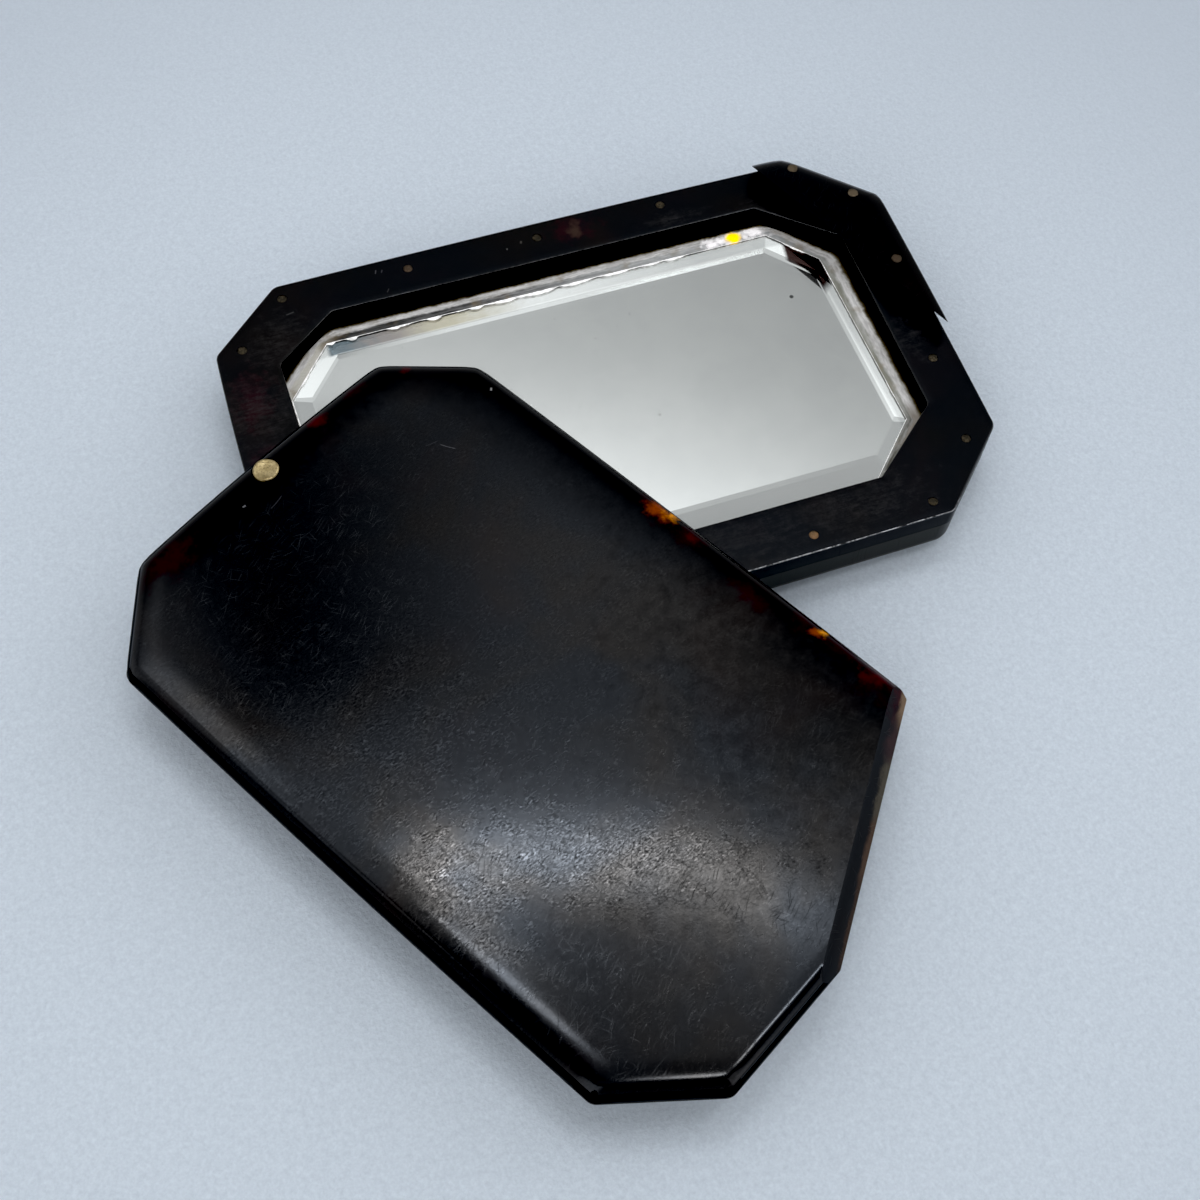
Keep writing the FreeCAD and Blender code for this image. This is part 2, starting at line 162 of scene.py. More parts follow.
def shell(name, seed, rough, grain, patches=(), haze=(), dark=(0.0074, 0.0074, 0.0079), tint=(0.0096, 0.0080, 0.0080),
          wear=0.24, spec=0.245, scratch=SCRATCH, edge=(), dusty=0.35, speckle=False, dull=(), busy=(), fade=(), lint=()):
    m, t, b = new_mat(name)
    mm = coords(t)
    cloud = noise_at(t, mm, 0.09, 3.0, 0.55, seed, 0.6)
    col = mixc(t, ramp(t, cloud, 0.48, 0.72, smooth=True), dark, tint)
    warp = noise_at(t, mm, 0.75, 4.0, 0.65, seed + 9.0)
    for colour, spots in patches:
        col = mixc(t, spots_mask(t, mm, warp, spots), col, colour)
    # light comes through the thin edge of the slanted end: coloured lengths (from, to, width, colour) along it
    if edge:
        turned = DIAG[0] + math.radians(OPEN)
        n3 = (math.cos(turned), math.sin(turned), 0.0)
        off = DIAG[1] - (math.cos(DIAG[0]) * PIVOT[0] + math.sin(DIAG[0]) * PIVOT[1])
        rel = nd(t, "VectorMath", {0: mm, 1: (*PIVOT, 0.0)}, operation="SUBTRACT").outputs[0]
        e = mth(t, "SUBTRACT", off, nd(t, "VectorMath", {0: rel, 1: n3}, operation="DOT_PRODUCT").outputs["Value"])
        run = nd(t, "VectorMath", {0: rel, 1: (-n3[1], n3[0], 0.0)}, operation="DOT_PRODUCT").outputs["Value"]
        wob = mth(t, "SUBTRACT", warp, 0.5)
        run = mth(t, "MULTIPLY_ADD", wob, 2.5, run)
        for r0, r1, width, colour in edge:
            keep = mth(t, "MULTIPLY", ramp(t, run, r0 - 1.2, r0 + 1.2, smooth=True),
                       ramp(t, run, r1 - 1.2, r1 + 1.2, 1.0, 0.0, smooth=True))
            keep = mth(t, "MULTIPLY", keep, ramp(t, mth(t, "MULTIPLY_ADD", wob, width * 1.2, e), width * 0.35, width, 1.0, 0.0, smooth=True))
            col = mixc(t, keep, col, colour)
    # hair scratches follow slightly curved lines
    bend = nd(t, "TexNoise", {"Vector": mm, "Scale": 0.16, "Detail": 1.0}, noise_dimensions="3D").outputs["Color"]
    curved = nd(t, "VectorMath", {0: bend, 1: (2.0, 2.0, 0.0), 2: mm}, operation="MULTIPLY_ADD").outputs[0]
    lay = [(segments(t, curved, ang, al, ac, keep, seed * 3.1 + 11.3 * i), 1.0)
           for i, (ang, al, ac, keep) in enumerate(scratch)]
    marks = mth(t, "MINIMUM", add(t, lay), 1.0)
    worn = ramp(t, noise_at(t, mm, 0.11, 3.0, 0.6, seed + 27.0), 0.34, 0.62, 0.3, 1.0)
    marks = mth(t, "MULTIPLY", marks, worn)
    # fibrous polish: two crossing stretched noises over a fine grain
    fib = []
    for k, (ang, wgt) in enumerate(((-42, 0.55), (-8, 0.35), (55, 0.3))):
        q = nd(t, "VectorRotate", {"Vector": mm, "Angle": math.radians(ang)}, rotation_type="Z_AXIS").outputs[0]
        q = nd(t, "VectorMath", {0: q, 1: (1.8, 8.0, 4.0)}, operation="MULTIPLY").outputs[0]
        fib.append((noise_at(t, q, 1.0, 1.0, 0.5, seed + 5.0 * k), wgt))
    fibre = add(t, fib)
    gr = noise_at(t, mm, 4.4, 1.0, 0.5, seed + 17.0)
    gr = mth(t, "MULTIPLY", mth(t, "SUBTRACT", gr, 0.5), ramp(t, noise_at(t, mm, 0.9, 2.0, 0.6, seed + 41.0), 0.35, 0.68, *((1.0, 1.9) if speckle else (0.5, 2.0))))
    fine = noise_at(t, mm, 1.1, 3.0, 0.6, seed + 3.0)
    stir = 1.0
    if busy:
        stir = 0.26
        for spot, gain in busy:
            stir = mth(t, "ADD", stir, mth(t, "MULTIPLY", spots_mask(t, mm, warp, (spot,)), gain))
        gr, fibre = mth(t, "MULTIPLY", gr, stir), mth(t, "MULTIPLY", fibre, stir)
    rr = ramp(t, fine, 0.3, 0.7, rough - 0.01, rough + 0.02)
    rr = mth(t, "ADD", rr, mth(t, "MULTIPLY", marks, wear))
    if haze:
        wipe = nd(t, "VectorMath", {0: mm, 1: (0.5, 2.6, 1.0)}, operation="MULTIPLY").outputs[0]
        hz = mth(t, "MULTIPLY", spots_mask(t, mm, warp, haze),
                 ramp(t, add(t, [(noise_at(t, wipe, 1.0, 4.0, 0.75, seed + 21.0), 0.6), (noise_at(t, mm, 2.2, 3.0, 0.7, seed + 23.0), 0.4)]),
                      0.42, 0.68))
        col = mixc(t, mth(t, "MULTIPLY", hz, dusty), col, (0.034, 0.032, 0.032))
        rr = mth(t, "ADD", rr, mth(t, "MULTIPLY", hz, 0.12))
    # a few light hairs and grains of dust
    for x, y, ang, long, wide, colour in lint:
        q = nd(t, "VectorMath", {0: mm, 1: (x, y, 0.0)}, operation="SUBTRACT").outputs[0]
        q = nd(t, "VectorRotate", {"Vector": q, "Angle": math.radians(-ang)}, rotation_type="Z_AXIS").outputs[0]
        q = nd(t, "SeparateXYZ", {0: q}).outputs
        bow = mth(t, "SUBTRACT", q[1], mth(t, "MULTIPLY", mth(t, "MULTIPLY", q[0], q[0]), 0.06))
        on = mth(t, "MULTIPLY", ramp(t, mth(t, "ABSOLUTE", bow), wide * 0.4, wide, 1.0, 0.0),
                 ramp(t, mth(t, "ABSOLUTE", q[0]), long * 0.8, long, 1.0, 0.0))
        col = mixc(t, on, col, colour)
    t.links.new(col, b.inputs["Base Color"])
    t.links.new(rr, b.inputs["Roughness"])
    cool = ramp(t, noise_at(t, mm, 0.06, 3.0, 0.55, seed + 33.0, 0.4), 0.32, 0.58, smooth=True)
    sheen = mixc(t, cool, (0.97, 0.93, 0.90), (0.80, 0.88, 1.0))
    if speckle:
        # satin grain: each grain of the surface sends back more or less light, and some clusters sparkle
        q = nd(t, "VectorRotate", {"Vector": mm, "Angle": math.radians(-20)}, rotation_type="Z_AXIS").outputs[0]
        q = nd(t, "VectorMath", {0: q, 1: (0.6, 1.1, 1.0)}, operation="MULTIPLY").outputs[0]
        s1 = noise_at(t, q, 4.8, 1.0, 0.6, seed + 51.0)
        s2 = noise_at(t, q, 3.7, 0.0, 0.5, seed + 57.0)
        lot = ramp(t, noise_at(t, mm, 0.45, 2.0, 0.6, seed + 61.0), 0.42, 0.62, 0.65, 1.0)
        body = mth(t, "MULTIPLY_ADD", ramp(t, s1, 0.3, 0.7, -0.26, 0.26), mth(t, "MULTIPLY", lot, mth(t, "MINIMUM", stir, 1.15)), 0.33)
        star = mth(t, "MULTIPLY", ramp(t, s2, 0.62, 0.74), ramp(t, lot, 0.65, 1.0, 0.1, 1.0))
        body = mth(t, "ADD", body, mth(t, "MULTIPLY", mth(t, "MULTIPLY", star, stir), 0.45))
        for away in dull:
            body = mth(t, "MULTIPLY", body, mth(t, "MULTIPLY_ADD", spots_mask(t, mm, warp, (away,)), -0.4, 1.0))
        for nx, ny, off, near_edge, inside, least in fade:
            gone = mth(t, "SUBTRACT", off, nd(t, "VectorMath", {0: mm, 1: (nx, ny, 0.0)}, operation="DOT_PRODUCT").outputs["Value"])
            gone = mth(t, "ADD", gone, mth(t, "MULTIPLY", mth(t, "SUBTRACT", warp, 0.5), 3.0))
            body = mth(t, "MULTIPLY", body, ramp(t, gone, near_edge, inside, least, 1.0, smooth=True))
        sheen = mixc(t, 1.0, sheen, nd(t, "CombineColor", {0: body, 1: body, 2: body}).outputs[0], "MULTIPLY")
    t.links.new(sheen, b.inputs["Specular Tint"])
    b.inputs["Specular IOR Level"].default_value = spec
    b.inputs["IOR"].default_value = 1.5
    h = mth(t, "ADD", mth(t, "MULTIPLY", gr, grain), mth(t, "MULTIPLY", fibre, grain * 0.5))
    h = mth(t, "SUBTRACT", h, mth(t, "MULTIPLY", marks, 0.12))
    bump(t, b, h, 0.000004)
    return m


def brass(name, seed, bright, dull, tarnish, rough, relief=0.00003, clean=()):
    m, t, b = new_mat(name)
    mm = coords(t)
    n1 = noise_at(t, mm, 1.3, 4.0, 0.65, seed)
    n2 = noise_at(t, mm, 5.0, 3.0, 0.6, seed + 5.0)
    lines = add(t, [(segments(t, mm, 20, 1.2, 14.0, 0.3, seed), 0.6),
                    (segments(t, mm, 115, 1.2, 14.0, 0.3, seed + 4.0), 0.5)])
    col = mixc(t, ramp(t, n1, 0.36, 0.64, smooth=True), dull, bright)
    col = mixc(t, ramp(t, n2, 0.52, 0.72), col, tarnish)
    for colour, spots in clean:
        col = mixc(t, spots_mask(t, mm, n1, spots), col, colour)
    t.links.new(col, b.inputs["Base Color"])
    b.inputs["Metallic"].default_value = 1.0
    t.links.new(mth(t, "ADD", ramp(t, n2, 0.3, 0.7, rough - 0.08, rough + 0.1), mth(t, "MULTIPLY", lines, 0.1)),
                b.inputs["Roughness"])
    bump(t, b, mth(t, "SUBTRACT", mth(t, "MULTIPLY", n2, 0.8), mth(t, "MULTIPLY", lines, 0.5)), relief)
    return m


def clear_glass():
    m, t, b = new_mat("clear_glass")
    mm = coords(t)
    dust = ramp(t, noise_at(t, mm, 2.6, 3.0, 0.7, 4.0), 0.66, 0.78)
    t.links.new(mixc(t, dust, (0.968, 0.985, 0.976), (0.88, 0.89, 0.885)), b.inputs["Base Color"])
    t.links.new(ramp(t, noise_at(t, mm, 0.2, 3.0, 0.6, 11.0), 0.3, 0.8, 0.0, 0.02), b.inputs["Roughness"])
    b.inputs["Transmission Weight"].default_value = 1.0
    b.inputs["IOR"].default_value = 1.52
    return m


def silver_coat(name):
    m, t, b = new_mat(name)
    mm = coords(t)
    n1 = noise_at(t, mm, 0.12, 4.0, 0.6, 2.0)
    spot = ramp(t, noise_at(t, mm, 1.5, 2.0, 0.5, 6.0), 0.74, 0.8)
    col = mixc(t, ramp(t, n1, 0.35, 0.7, smooth=True), (0.868, 0.882, 0.870), (0.83, 0.845, 0.836))
    col = mixc(t, mth(t, "MULTIPLY", spot, 0.25), col, (0.35, 0.34, 0.31))
    # the coat is darkened under the far and the right-hand bevels, painted shade that dims the reflection there, and
    # has one pinhole
    pos = nd(t, "SeparateXYZ", {0: mm}).outputs
    rim = mth(t, "MAXIMUM", ramp(t, pos[1], 15.9, 16.3), ramp(t, mth(t, "MULTIPLY_ADD", pos[1], 0.035, pos[0]), 30.55, 30.95))
    col = mixc(t, mth(t, "MULTIPLY", rim, 0.24), col, (0.0, 0.0, 0.0))
    # painted reflection towards the left end of the far bevel: the coat is tinted olive, then brown, then blue grey,
    # darkening what the bevel reflects there
    far_rim = mth(t, "MULTIPLY", ramp(t, pos[1], 15.9, 16.2), ramp(t, pos[0], -27.5, -27.0))
    blot = mth(t, "MULTIPLY", mth(t, "SUBTRACT", noise_at(t, mm, 0.5, 3.0, 0.6, 31.0), 0.5), 6.0)
    run = mth(t, "ADD", pos[0], blot)
    painted_reflection_tint = mixc(t, ramp(t, run, -12.0, -4.0), (0.43, 0.405, 0.32), (0.66, 0.67, 0.66))
    painted_reflection_tint = mixc(t, ramp(t, run, -20.0, -14.0), (0.25, 0.232, 0.225), painted_reflection_tint)
    painted_reflection_tint = mixc(t, ramp(t, run, -24.0, -22.0), (0.15, 0.185, 0.205), painted_reflection_tint)
    col = mixc(t, mth(t, "MULTIPLY", far_rim, ramp(t, run, -6.0, -2.0, 1.0, 0.0)), col, painted_reflection_tint)
    # painted reflection: dark brown under the far right cut and the end of the next bevel, standing in for the corner
    # block reflected there
    slant = mth(t, "SUBTRACT", nd(t, "VectorMath", {0: mm, 1: (0.741, 0.6716, 0.0)}, operation="DOT_PRODUCT").outputs["Value"], 29.55)
    reach = mth(t, "SUBTRACT", nd(t, "VectorMath", {0: mm, 1: (-0.6716, 0.741, 0.0)}, operation="DOT_PRODUCT").outputs["Value"], -12.15)
    outer = mth(t, "MAXIMUM", slant, mth(t, "SUBTRACT", mth(t, "MULTIPLY_ADD", pos[1], 0.025, pos[0]), 30.32))
    painted_block_reflection = mth(t, "MULTIPLY", ramp(t, outer, -0.12, 0.02), mth(t, "MULTIPLY", ramp(t, reach, -2.6, -1.6), ramp(t, mth(t, "SUBTRACT", reach, mth(t, "MULTIPLY", slant, 0.8)), 4.0, 3.4)))
    col = mixc(t, painted_block_reflection, col, mixc(t, ramp(t, n1, 0.4, 0.6), (0.018, 0.012, 0.012), (0.05, 0.032, 0.03)))
    hole = nd(t, "VectorMath", {0: mm, 1: (26.05, 8.4, 4.1)}, operation="DISTANCE").outputs["Value"]
    col = mixc(t, ramp(t, hole, 0.16, 0.3, 0.92, 0.0), col, (0.02, 0.02, 0.02))
    t.links.new(col, b.inputs["Base Color"])
    b.inputs["Metallic"].default_value = 1.0
    t.links.new(ramp(t, noise_at(t, mm, 0.8, 4.0, 0.7, 8.0), 0.3, 0.75, 0.02, 0.06), b.inputs["Roughness"])
    return m


def glass_chips():
    # broken faces of the edge look white: a painted glow (emission) stands in for the light they catch
    m, t, b = new_mat("chipped_glass")
    mm = coords(t)
    n = noise_at(t, mm, 1.6, 4.0, 0.7, 3.0)
    t.links.new(mixc(t, ramp(t, n, 0.35, 0.6), (0.62, 0.62, 0.61), (0.95, 0.95, 0.95)), b.inputs["Base Color"])
    t.links.new(ramp(t, n, 0.3, 0.7, 0.25, 0.5), b.inputs["Roughness"])
    b.inputs["IOR"].default_value = 1.52
    b.inputs["Emission Color"].default_value = (1.0, 1.0, 1.0, 1.0)
    t.links.new(ramp(t, n, 0.3, 0.6, 0.25, 0.8), b.inputs["Emission Strength"])
    bump(t, b, n, 0.0001)
    return m


def glass_edge():
    # ground outer land: a darker streak beside the bevel, a pale one beyond it, then brown and, towards the rim, near
    # black; the land has a faint painted glow, stronger in pale spots, and a painted amber glow spot
    m, t, b = new_mat("ground_glass_edge")
    mm = coords(t)
    pos = nd(t, "SeparateXYZ", {0: mm}).outputs
    e = nd(t, "Attribute", attribute_name="across").outputs["Fac"]
    a = nd(t, "Attribute", attribute_name="along").outputs["Fac"]
    v = nd(t, "CombineXYZ", {0: mth(t, "MULTIPLY", a, 0.16), 1: mth(t, "MULTIPLY", e, 7.0), 2: 0.0}).outputs[0]
    v2 = nd(t, "CombineXYZ", {0: mth(t, "MULTIPLY", a, 0.9), 1: mth(t, "MULTIPLY", e, 10.0), 2: 4.0}).outputs[0]
    st = add(t, [(noise_at(t, v, 1.0, 4.0, 0.6, 1.0, 0.4), 0.6), (noise_at(t, v2, 1.0, 3.0, 0.6, 7.0), 0.4)])
    wob = mth(t, "MULTIPLY", mth(t, "SUBTRACT", noise_at(t, mm, 0.9, 3.0, 0.6, 5.0), 0.5), 0.2)
    ew = mth(t, "ADD", mth(t, "ADD", e, wob), ramp(t, pos[0], 27.5, 30.5, 0.0, 0.12))
    beyond = ramp(t, pos[0], -14.0, 12.0, smooth=True)
    low = mixc(t, beyond, (0.022, 0.022, 0.021), (0.33, 0.34, 0.34))
    low = mixc(t, ramp(t, pos[1], 10.0, 15.0, 1.0, 0.0), low, (0.26, 0.26, 0.22))
    low = mixc(t, ramp(t, pos[0], -26.0, -28.5), low, (0.6, 0.58, 0.52))
    low = mixc(t, mth(t, "MULTIPLY", ramp(t, pos[1], -9.0, -11.5), 0.85), low, (0.07, 0.065, 0.05))
    low = mixc(t, mth(t, "MULTIPLY", ramp(t, st, 0.42, 0.62, 0.0, 0.5), ramp(t, pos[0], -20.0, 6.0, 0.25, 1.0)), low, (0.7, 0.7, 0.7))
    high = mixc(t, ramp(t, st, 0.36, 0.58), (0.42, 0.41, 0.40), (0.82, 0.81, 0.80))
    high = mixc(t, mth(t, "MULTIPLY", ramp(t, pos[1], -9.0, -11.5), 0.8), high, (0.2, 0.165, 0.13))
    col = mixc(t, ramp(t, ew, 0.26, 0.38, smooth=True), low, high)
    rust = ramp(t, noise_at(t, mm, 0.35, 3.0, 0.6, 12.0), 0.54, 0.7)
    col = mixc(t, mth(t, "MULTIPLY", rust, 0.5), col, (0.24, 0.18, 0.1))
    painted_amber_glow = spots_mask(t, mm, ramp(t, noise_at(t, mm, 1.1, 2.0, 0.5, 15.0), 0.0, 1.0, 0.38, 0.62), ((22.7, 18.75, 4.3, 1.5, 0, 1.1),))
    painted_amber_glow = ramp(t, painted_amber_glow, 0.1, 0.6)
    pale = spots_mask(t, mm, noise_at(t, mm, 1.1, 3.0, 0.6, 18.0), ((25.2, 18.8, 4.4, 2.0, -15, 1.3), (20.4, 18.6, 4.4, 1.6, 0, 1.6)))
    col = mixc(t, pale, col, (0.9, 0.87, 0.88))
    col = mixc(t, ramp(t, ew, 0.52, 0.66, smooth=True), col, (0.1, 0.075, 0.03))
    col = mixc(t, ramp(t, ew, 0.58, 0.74, smooth=True), col, (0.002, 0.0018, 0.0015))
    # painted reflection: an amber glowing spot standing in for amber light caught in the edge
    col = mixc(t, painted_amber_glow, col, (0.98, 0.62, 0.002))
    t.links.new(col, b.inputs["Base Color"])
    # painted glow: the land emits its own colour faintly, more in the pale spots and the amber spot
    t.links.new(col, b.inputs["Emission Color"])
    t.links.new(mth(t, "ADD", add(t, [(painted_amber_glow, 0.8), (pale, 0.42)]), 0.22), b.inputs["Emission Strength"])
    t.links.new(ramp(t, st, 0.3, 0.7, 0.5, 0.35), b.inputs["Roughness"])
    bump(t, b, st, 0.00008)
    return m


def frame_edge_highlight():
    # thin edge of the frame: a painted highlight in pale base colour, broken along the near side and faint round the
    # window
    m, t, b = new_mat("frame_edge_painted_highlight")
    mm = coords(t)
    pos = nd(t, "SeparateXYZ", {0: mm}).outputs
    n1, n2 = noise_at(t, mm, 0.55, 3.0, 0.65, 2.0), noise_at(t, mm, 2.4, 3.0, 0.7, 9.0)
    near_side_highlight = mth(t, "MULTIPLY", ramp(t, pos[1], -24.0, -24.8), ramp(t, pos[0], 27.0, 31.0, 1.0, 0.35))
    painted_highlight = mth(t, "MULTIPLY", ramp(t, add(t, [(n1, 0.55), (n2, 0.45)]), 0.42, 0.58), near_side_highlight)
    inner = mth(t, "MULTIPLY", ramp(t, pos[1], 17.0, 19.0), ramp(t, pos[1], 21.5, 20.9))
    painted_highlight = mth(t, "ADD", painted_highlight, mth(t, "MULTIPLY", mth(t, "MULTIPLY", inner, ramp(t, n2, 0.35, 0.65)), 0.13))
    t.links.new(mixc(t, painted_highlight, (0.005, 0.005, 0.0052), (0.86, 0.86, 0.88)), b.inputs["Base Color"])
    t.links.new(ramp(t, n2, 0.3, 0.7, 0.25, 0.45), b.inputs["Roughness"])
    b.inputs["Specular IOR Level"].default_value = 0.4
    return m


def card_stock():
    m, t, b = new_mat("packing_card")
    mm = coords(t)
    n = noise_at(t, mm, 2.2, 4.0, 0.7, 1.0)
    t.links.new(mixc(t, ramp(t, n, 0.3, 0.7), (0.24, 0.17, 0.1), (0.4, 0.31, 0.2)), b.inputs["Base Color"])
    t.links.new(ramp(t, n, 0.3, 0.7, 0.8, 0.95), b.inputs["Roughness"])
    bump(t, b, n, 0.00005)
    return m


def floor_paper():
    m, t, b = new_mat("pale_floor")
    mm = coords(t)
    n = noise_at(t, mm, 1.5, 3.0, 0.65, 1.0)
    fine = noise_at(t, mm, 3.1, 2.0, 0.7, 9.0)
    col = mixc(t, add(t, [(ramp(t, n, 0.3, 0.7), 0.45), (ramp(t, fine, 0.3, 0.7), 0.55)]), (0.675, 0.75, 0.84), (0.825, 0.91, 1.0))
    # painted shade: the floor darkens with distance from the object, standing in for light falling off
    d = nd(t, "VectorMath", {0: mm, 1: (-15.0, -25.0, 0.0)}, operation="DISTANCE").outputs["Value"]
    col = mixc(t, ramp(t, d, 55.0, 150.0, 0.0, 0.8, smooth=True), col, (0.585, 0.65, 0.735))
    t.links.new(col, b.inputs["Base Color"])
    b.inputs["Roughness"].default_value = 0.7
    b.inputs["Specular IOR Level"].default_value = 0.2
    bump(t, b, n, 0.00012)
    return m


# ------------------------------------------------------------------ mesh helpers
def make(name, verts, faces, mats, sharp=30.0, face_mat=None):
    me = bpy.data.meshes.new(name)
    me.from_pydata([(x * MM, y * MM, z * MM) for x, y, z in verts], [], faces)
    me.update()
    ob = bpy.data.objects.new(name, me)
    scene.collection.objects.link(ob)
    for m in mats:
        me.materials.append(m)
    if face_mat is not None:
        me.polygons.foreach_set("material_index", face_mat)
    me.shade_smooth()
    if sharp:
        me.set_sharp_from_angle(angle=math.radians(sharp))
    return ob


def cut(ob, cutters, sharp=30.0):
    # takes the cutters' volume away from ob for good
    for c in cutters:
        mod = ob.modifiers.new("cut", "BOOLEAN")
        mod.operation = "DIFFERENCE"
        mod.solver = "EXACT"
        mod.object = c
    dg = bpy.context.evaluated_depsgraph_get()
    me = bpy.data.meshes.new_from_object(ob.evaluated_get(dg))
    ob.modifiers.clear()
    old = ob.data
    ob.data = me
    me.name = ob.name
    bpy.data.meshes.remove(old)
    for c in cutters:
        cm = c.data
        bpy.data.objects.remove(c)
        bpy.data.meshes.remove(cm)
    # points left in the middle of a straight edge would give slivers
    bm = bmesh.new()
    bm.from_mesh(me)
    bmesh.ops.dissolve_verts(bm, verts=[v for v in bm.verts if len(v.link_edges) == 2])
    bm.to_mesh(me)
    bm.free()
    me.shade_smooth()
    me.set_sharp_from_angle(angle=math.radians(sharp))


def drums(name, spots, z0, z1, seg=40):
    # separate cylinders (x, y, radius) as one cutter
    verts, faces = [], []
    for x, y, r in spots:
        k = len(verts)
        for z in (z0, z1):
            verts += [(x + r * math.cos(2 * math.pi * i / seg), y + r * math.sin(2 * math.pi * i / seg), z)
                      for i in range(seg)]
        faces += [(k + i, k + (i + 1) % seg, k + seg + (i + 1) % seg, k + seg + i) for i in range(seg)]
        faces += [tuple(k + seg - 1 - i for i in range(seg)), tuple(k + seg + i for i in range(seg))]
    return make(name, verts, faces, [], sharp=0)


def outline(step=0.9, arc=9):
    # points and outward normals round the common outline, counter-clockwise
    xl, xr = -(LENGTH / 2 - BOW["pivot"]), LENGTH / 2 - BOW["stop"]
    yf, yn = WIDTH / 2 - BOW["long"], -(WIDTH / 2 - BOW["long"])
    v = [(xl + CUT["ll"][0], yn), (xr - CUT["lr"][0], yn), (xr, yn + CUT["lr"][1]), (xr, yf - CUT["ur"][1]),
         (xr - CUT["ur"][0], yf), (xl + CUT["ul"][0], yf), (xl, yf - CUT["ul"][1]), (xl, yn + CUT["ll"][1])]
    v = [np.array(p) for p in v]
    sag = {0: BOW["long"], 2: BOW["stop"], 4: BOW["long"], 6: BOW["pivot"]}
    sides = []
    for i in range(8):
        a, b = v[i], v[(i + 1) % 8]
        c = np.linalg.norm(b - a)
        d = (b - a) / c
        n = np.array([d[1], -d[0]])
        if i in sag:
            r = (c * c / 4 + sag[i] ** 2) / (2 * sag[i])
            centre = (a + b) / 2 + n * (sag[i] - r)
            half = math.asin(c / 2 / r)
            base = math.atan2(n[1], n[0])
            sides.append(("arc", centre, r, base - half, base + half))
        else:
            sides.append(("line", a, d, n, c))

    def at(side, s):
        if side[0] == "arc":
            ang = side[3] + s / side[2]
            n = np.array([math.cos(ang), math.sin(ang)])
            return side[1] + side[2] * n, n
        return side[1] + side[2] * s, side[3]

    def size(side):
        return (side[4] - side[3]) * side[2] if side[0] == "arc" else side[4]

    tl = []
    for i in range(8):
        n0, n1 = at(sides[i - 1], size(sides[i - 1]))[1], at(sides[i], 0.0)[1]
        turn = math.acos(max(-1, min(1, float(n0 @ n1))))
        tl.append(PLAN_ROUND * math.tan(turn / 2))
    pts, nrm = [], []
    for i in range(8):
        s0, s1 = tl[i], size(sides[i]) - tl[(i + 1) % 8]
        k = max(2, int(round((s1 - s0) / step)))
        for j in range(k + 1):
            p, n = at(sides[i], s0 + (s1 - s0) * j / k)
            pts.append(p)
            nrm.append(n)
        pe, ne = pts[-1], nrm[-1]
        ns = at(sides[(i + 1) % 8], tl[(i + 1) % 8])[1]
        c = pe - ne * PLAN_ROUND
        a0, a1 = math.atan2(ne[1], ne[0]), math.atan2(ns[1], ns[0])
        if a1 < a0:
            a1 += 2 * math.pi
        for j in range(1, arc):
            ang = a0 + (a1 - a0) * j / arc
            n = np.array([math.cos(ang), math.sin(ang)])
            pts.append(c + n * PLAN_ROUND)
            nrm.append(n)
    return np.array(pts), np.array(nrm), sides


OUT_P, OUT_N, SIDES = outline()


def inset(x, y, blend=0.3, pull=(1,) * 8):
    # distance in from the outline, with the corners between sides eased
    total = 0.0
    for side, k in zip(SIDES, pull):
        if side[0] == "arc":
            d = side[2] - np.hypot(x - side[1][0], y - side[1][1])
        else:
            d = (side[1][0] - x) * side[3][0] + (side[1][1] - y) * side[3][1]
        total = total + np.exp(-np.clip(d / k, -2.0, 60.0) / blend)
    return -blend * np.log(total)


def worn_drop(x, y, tight, crown=0.24, reach=3.8, roll=1.4):
    # how far the worn top falls near the edge: a faint crown, wider on the long near side, then a tight roll
    # that is narrower still on the sides listed in tight
    d = np.clip(inset(x, y, 0.3, (1.2, 0.95, 0.68, 1.0, 1.0, 1.0, 1.0, 1.0)), 0.0, None)
    soft = crown * reach / 2.72 * np.clip(1 - d / reach, 0, 1) ** 2.72
    u = np.clip(roll - np.clip(inset(x, y, 0.3, tight), 0.0, None), 0.0, roll)
    return soft + roll - np.sqrt(np.clip(roll * roll - u * u, 0.0, None))


def rolled_slab(z0, z1, lower=0.1, rings=30, tight=(1,) * 8, roll=1.4):
    # closed slab of the outline: broken lower edge, upright wall, worn upper edge, top in rings
    n = len(OUT_P)
    rows = [np.c_[OUT_P - OUT_N * d, np.full(n, z)] for d, z in
            ((lower, z0), (lower * 0.3, z0 + lower * 0.3), (0.0, z0 + lower))]
    offs = [0.0, 0.008, 0.03, 0.065, 0.11, 0.165, 0.23, 0.31, 0.4, 0.5, 0.61, 0.73, 0.86, 1.0]
    tops = [OUT_P - OUT_N * d for d in offs]
    inner = tops[-1]
    c = np.array([0.0, 0.0])
    gain = np.r_[np.linspace(0, 0.15, 25)[1:], np.linspace(0.15, 1.0, rings)[1:-1]]
    tops += [inner + (c - inner) * g for g in gain]
    for q in tops:
        rows.append(np.c_[q, z1 - worn_drop(q[:, 0], q[:, 1], tight, roll=roll)])
    verts = [tuple(v) for v in np.concatenate(rows)]
    faces = []
    for r in range(len(rows) - 1):
        for i in range(n):
            j = (i + 1) % n
            faces.append((r * n + i, r * n + j, (r + 1) * n + j, (r + 1) * n + i))
    top = (len(rows) - 1) * n
    verts.append((0.0, 0.0, verts[top][2]))
    hub = len(verts) - 1
    faces += [(top + i, top + (i + 1) % n, hub) for i in range(n)]
    faces.append(tuple(reversed(range(n))))
    return verts, faces


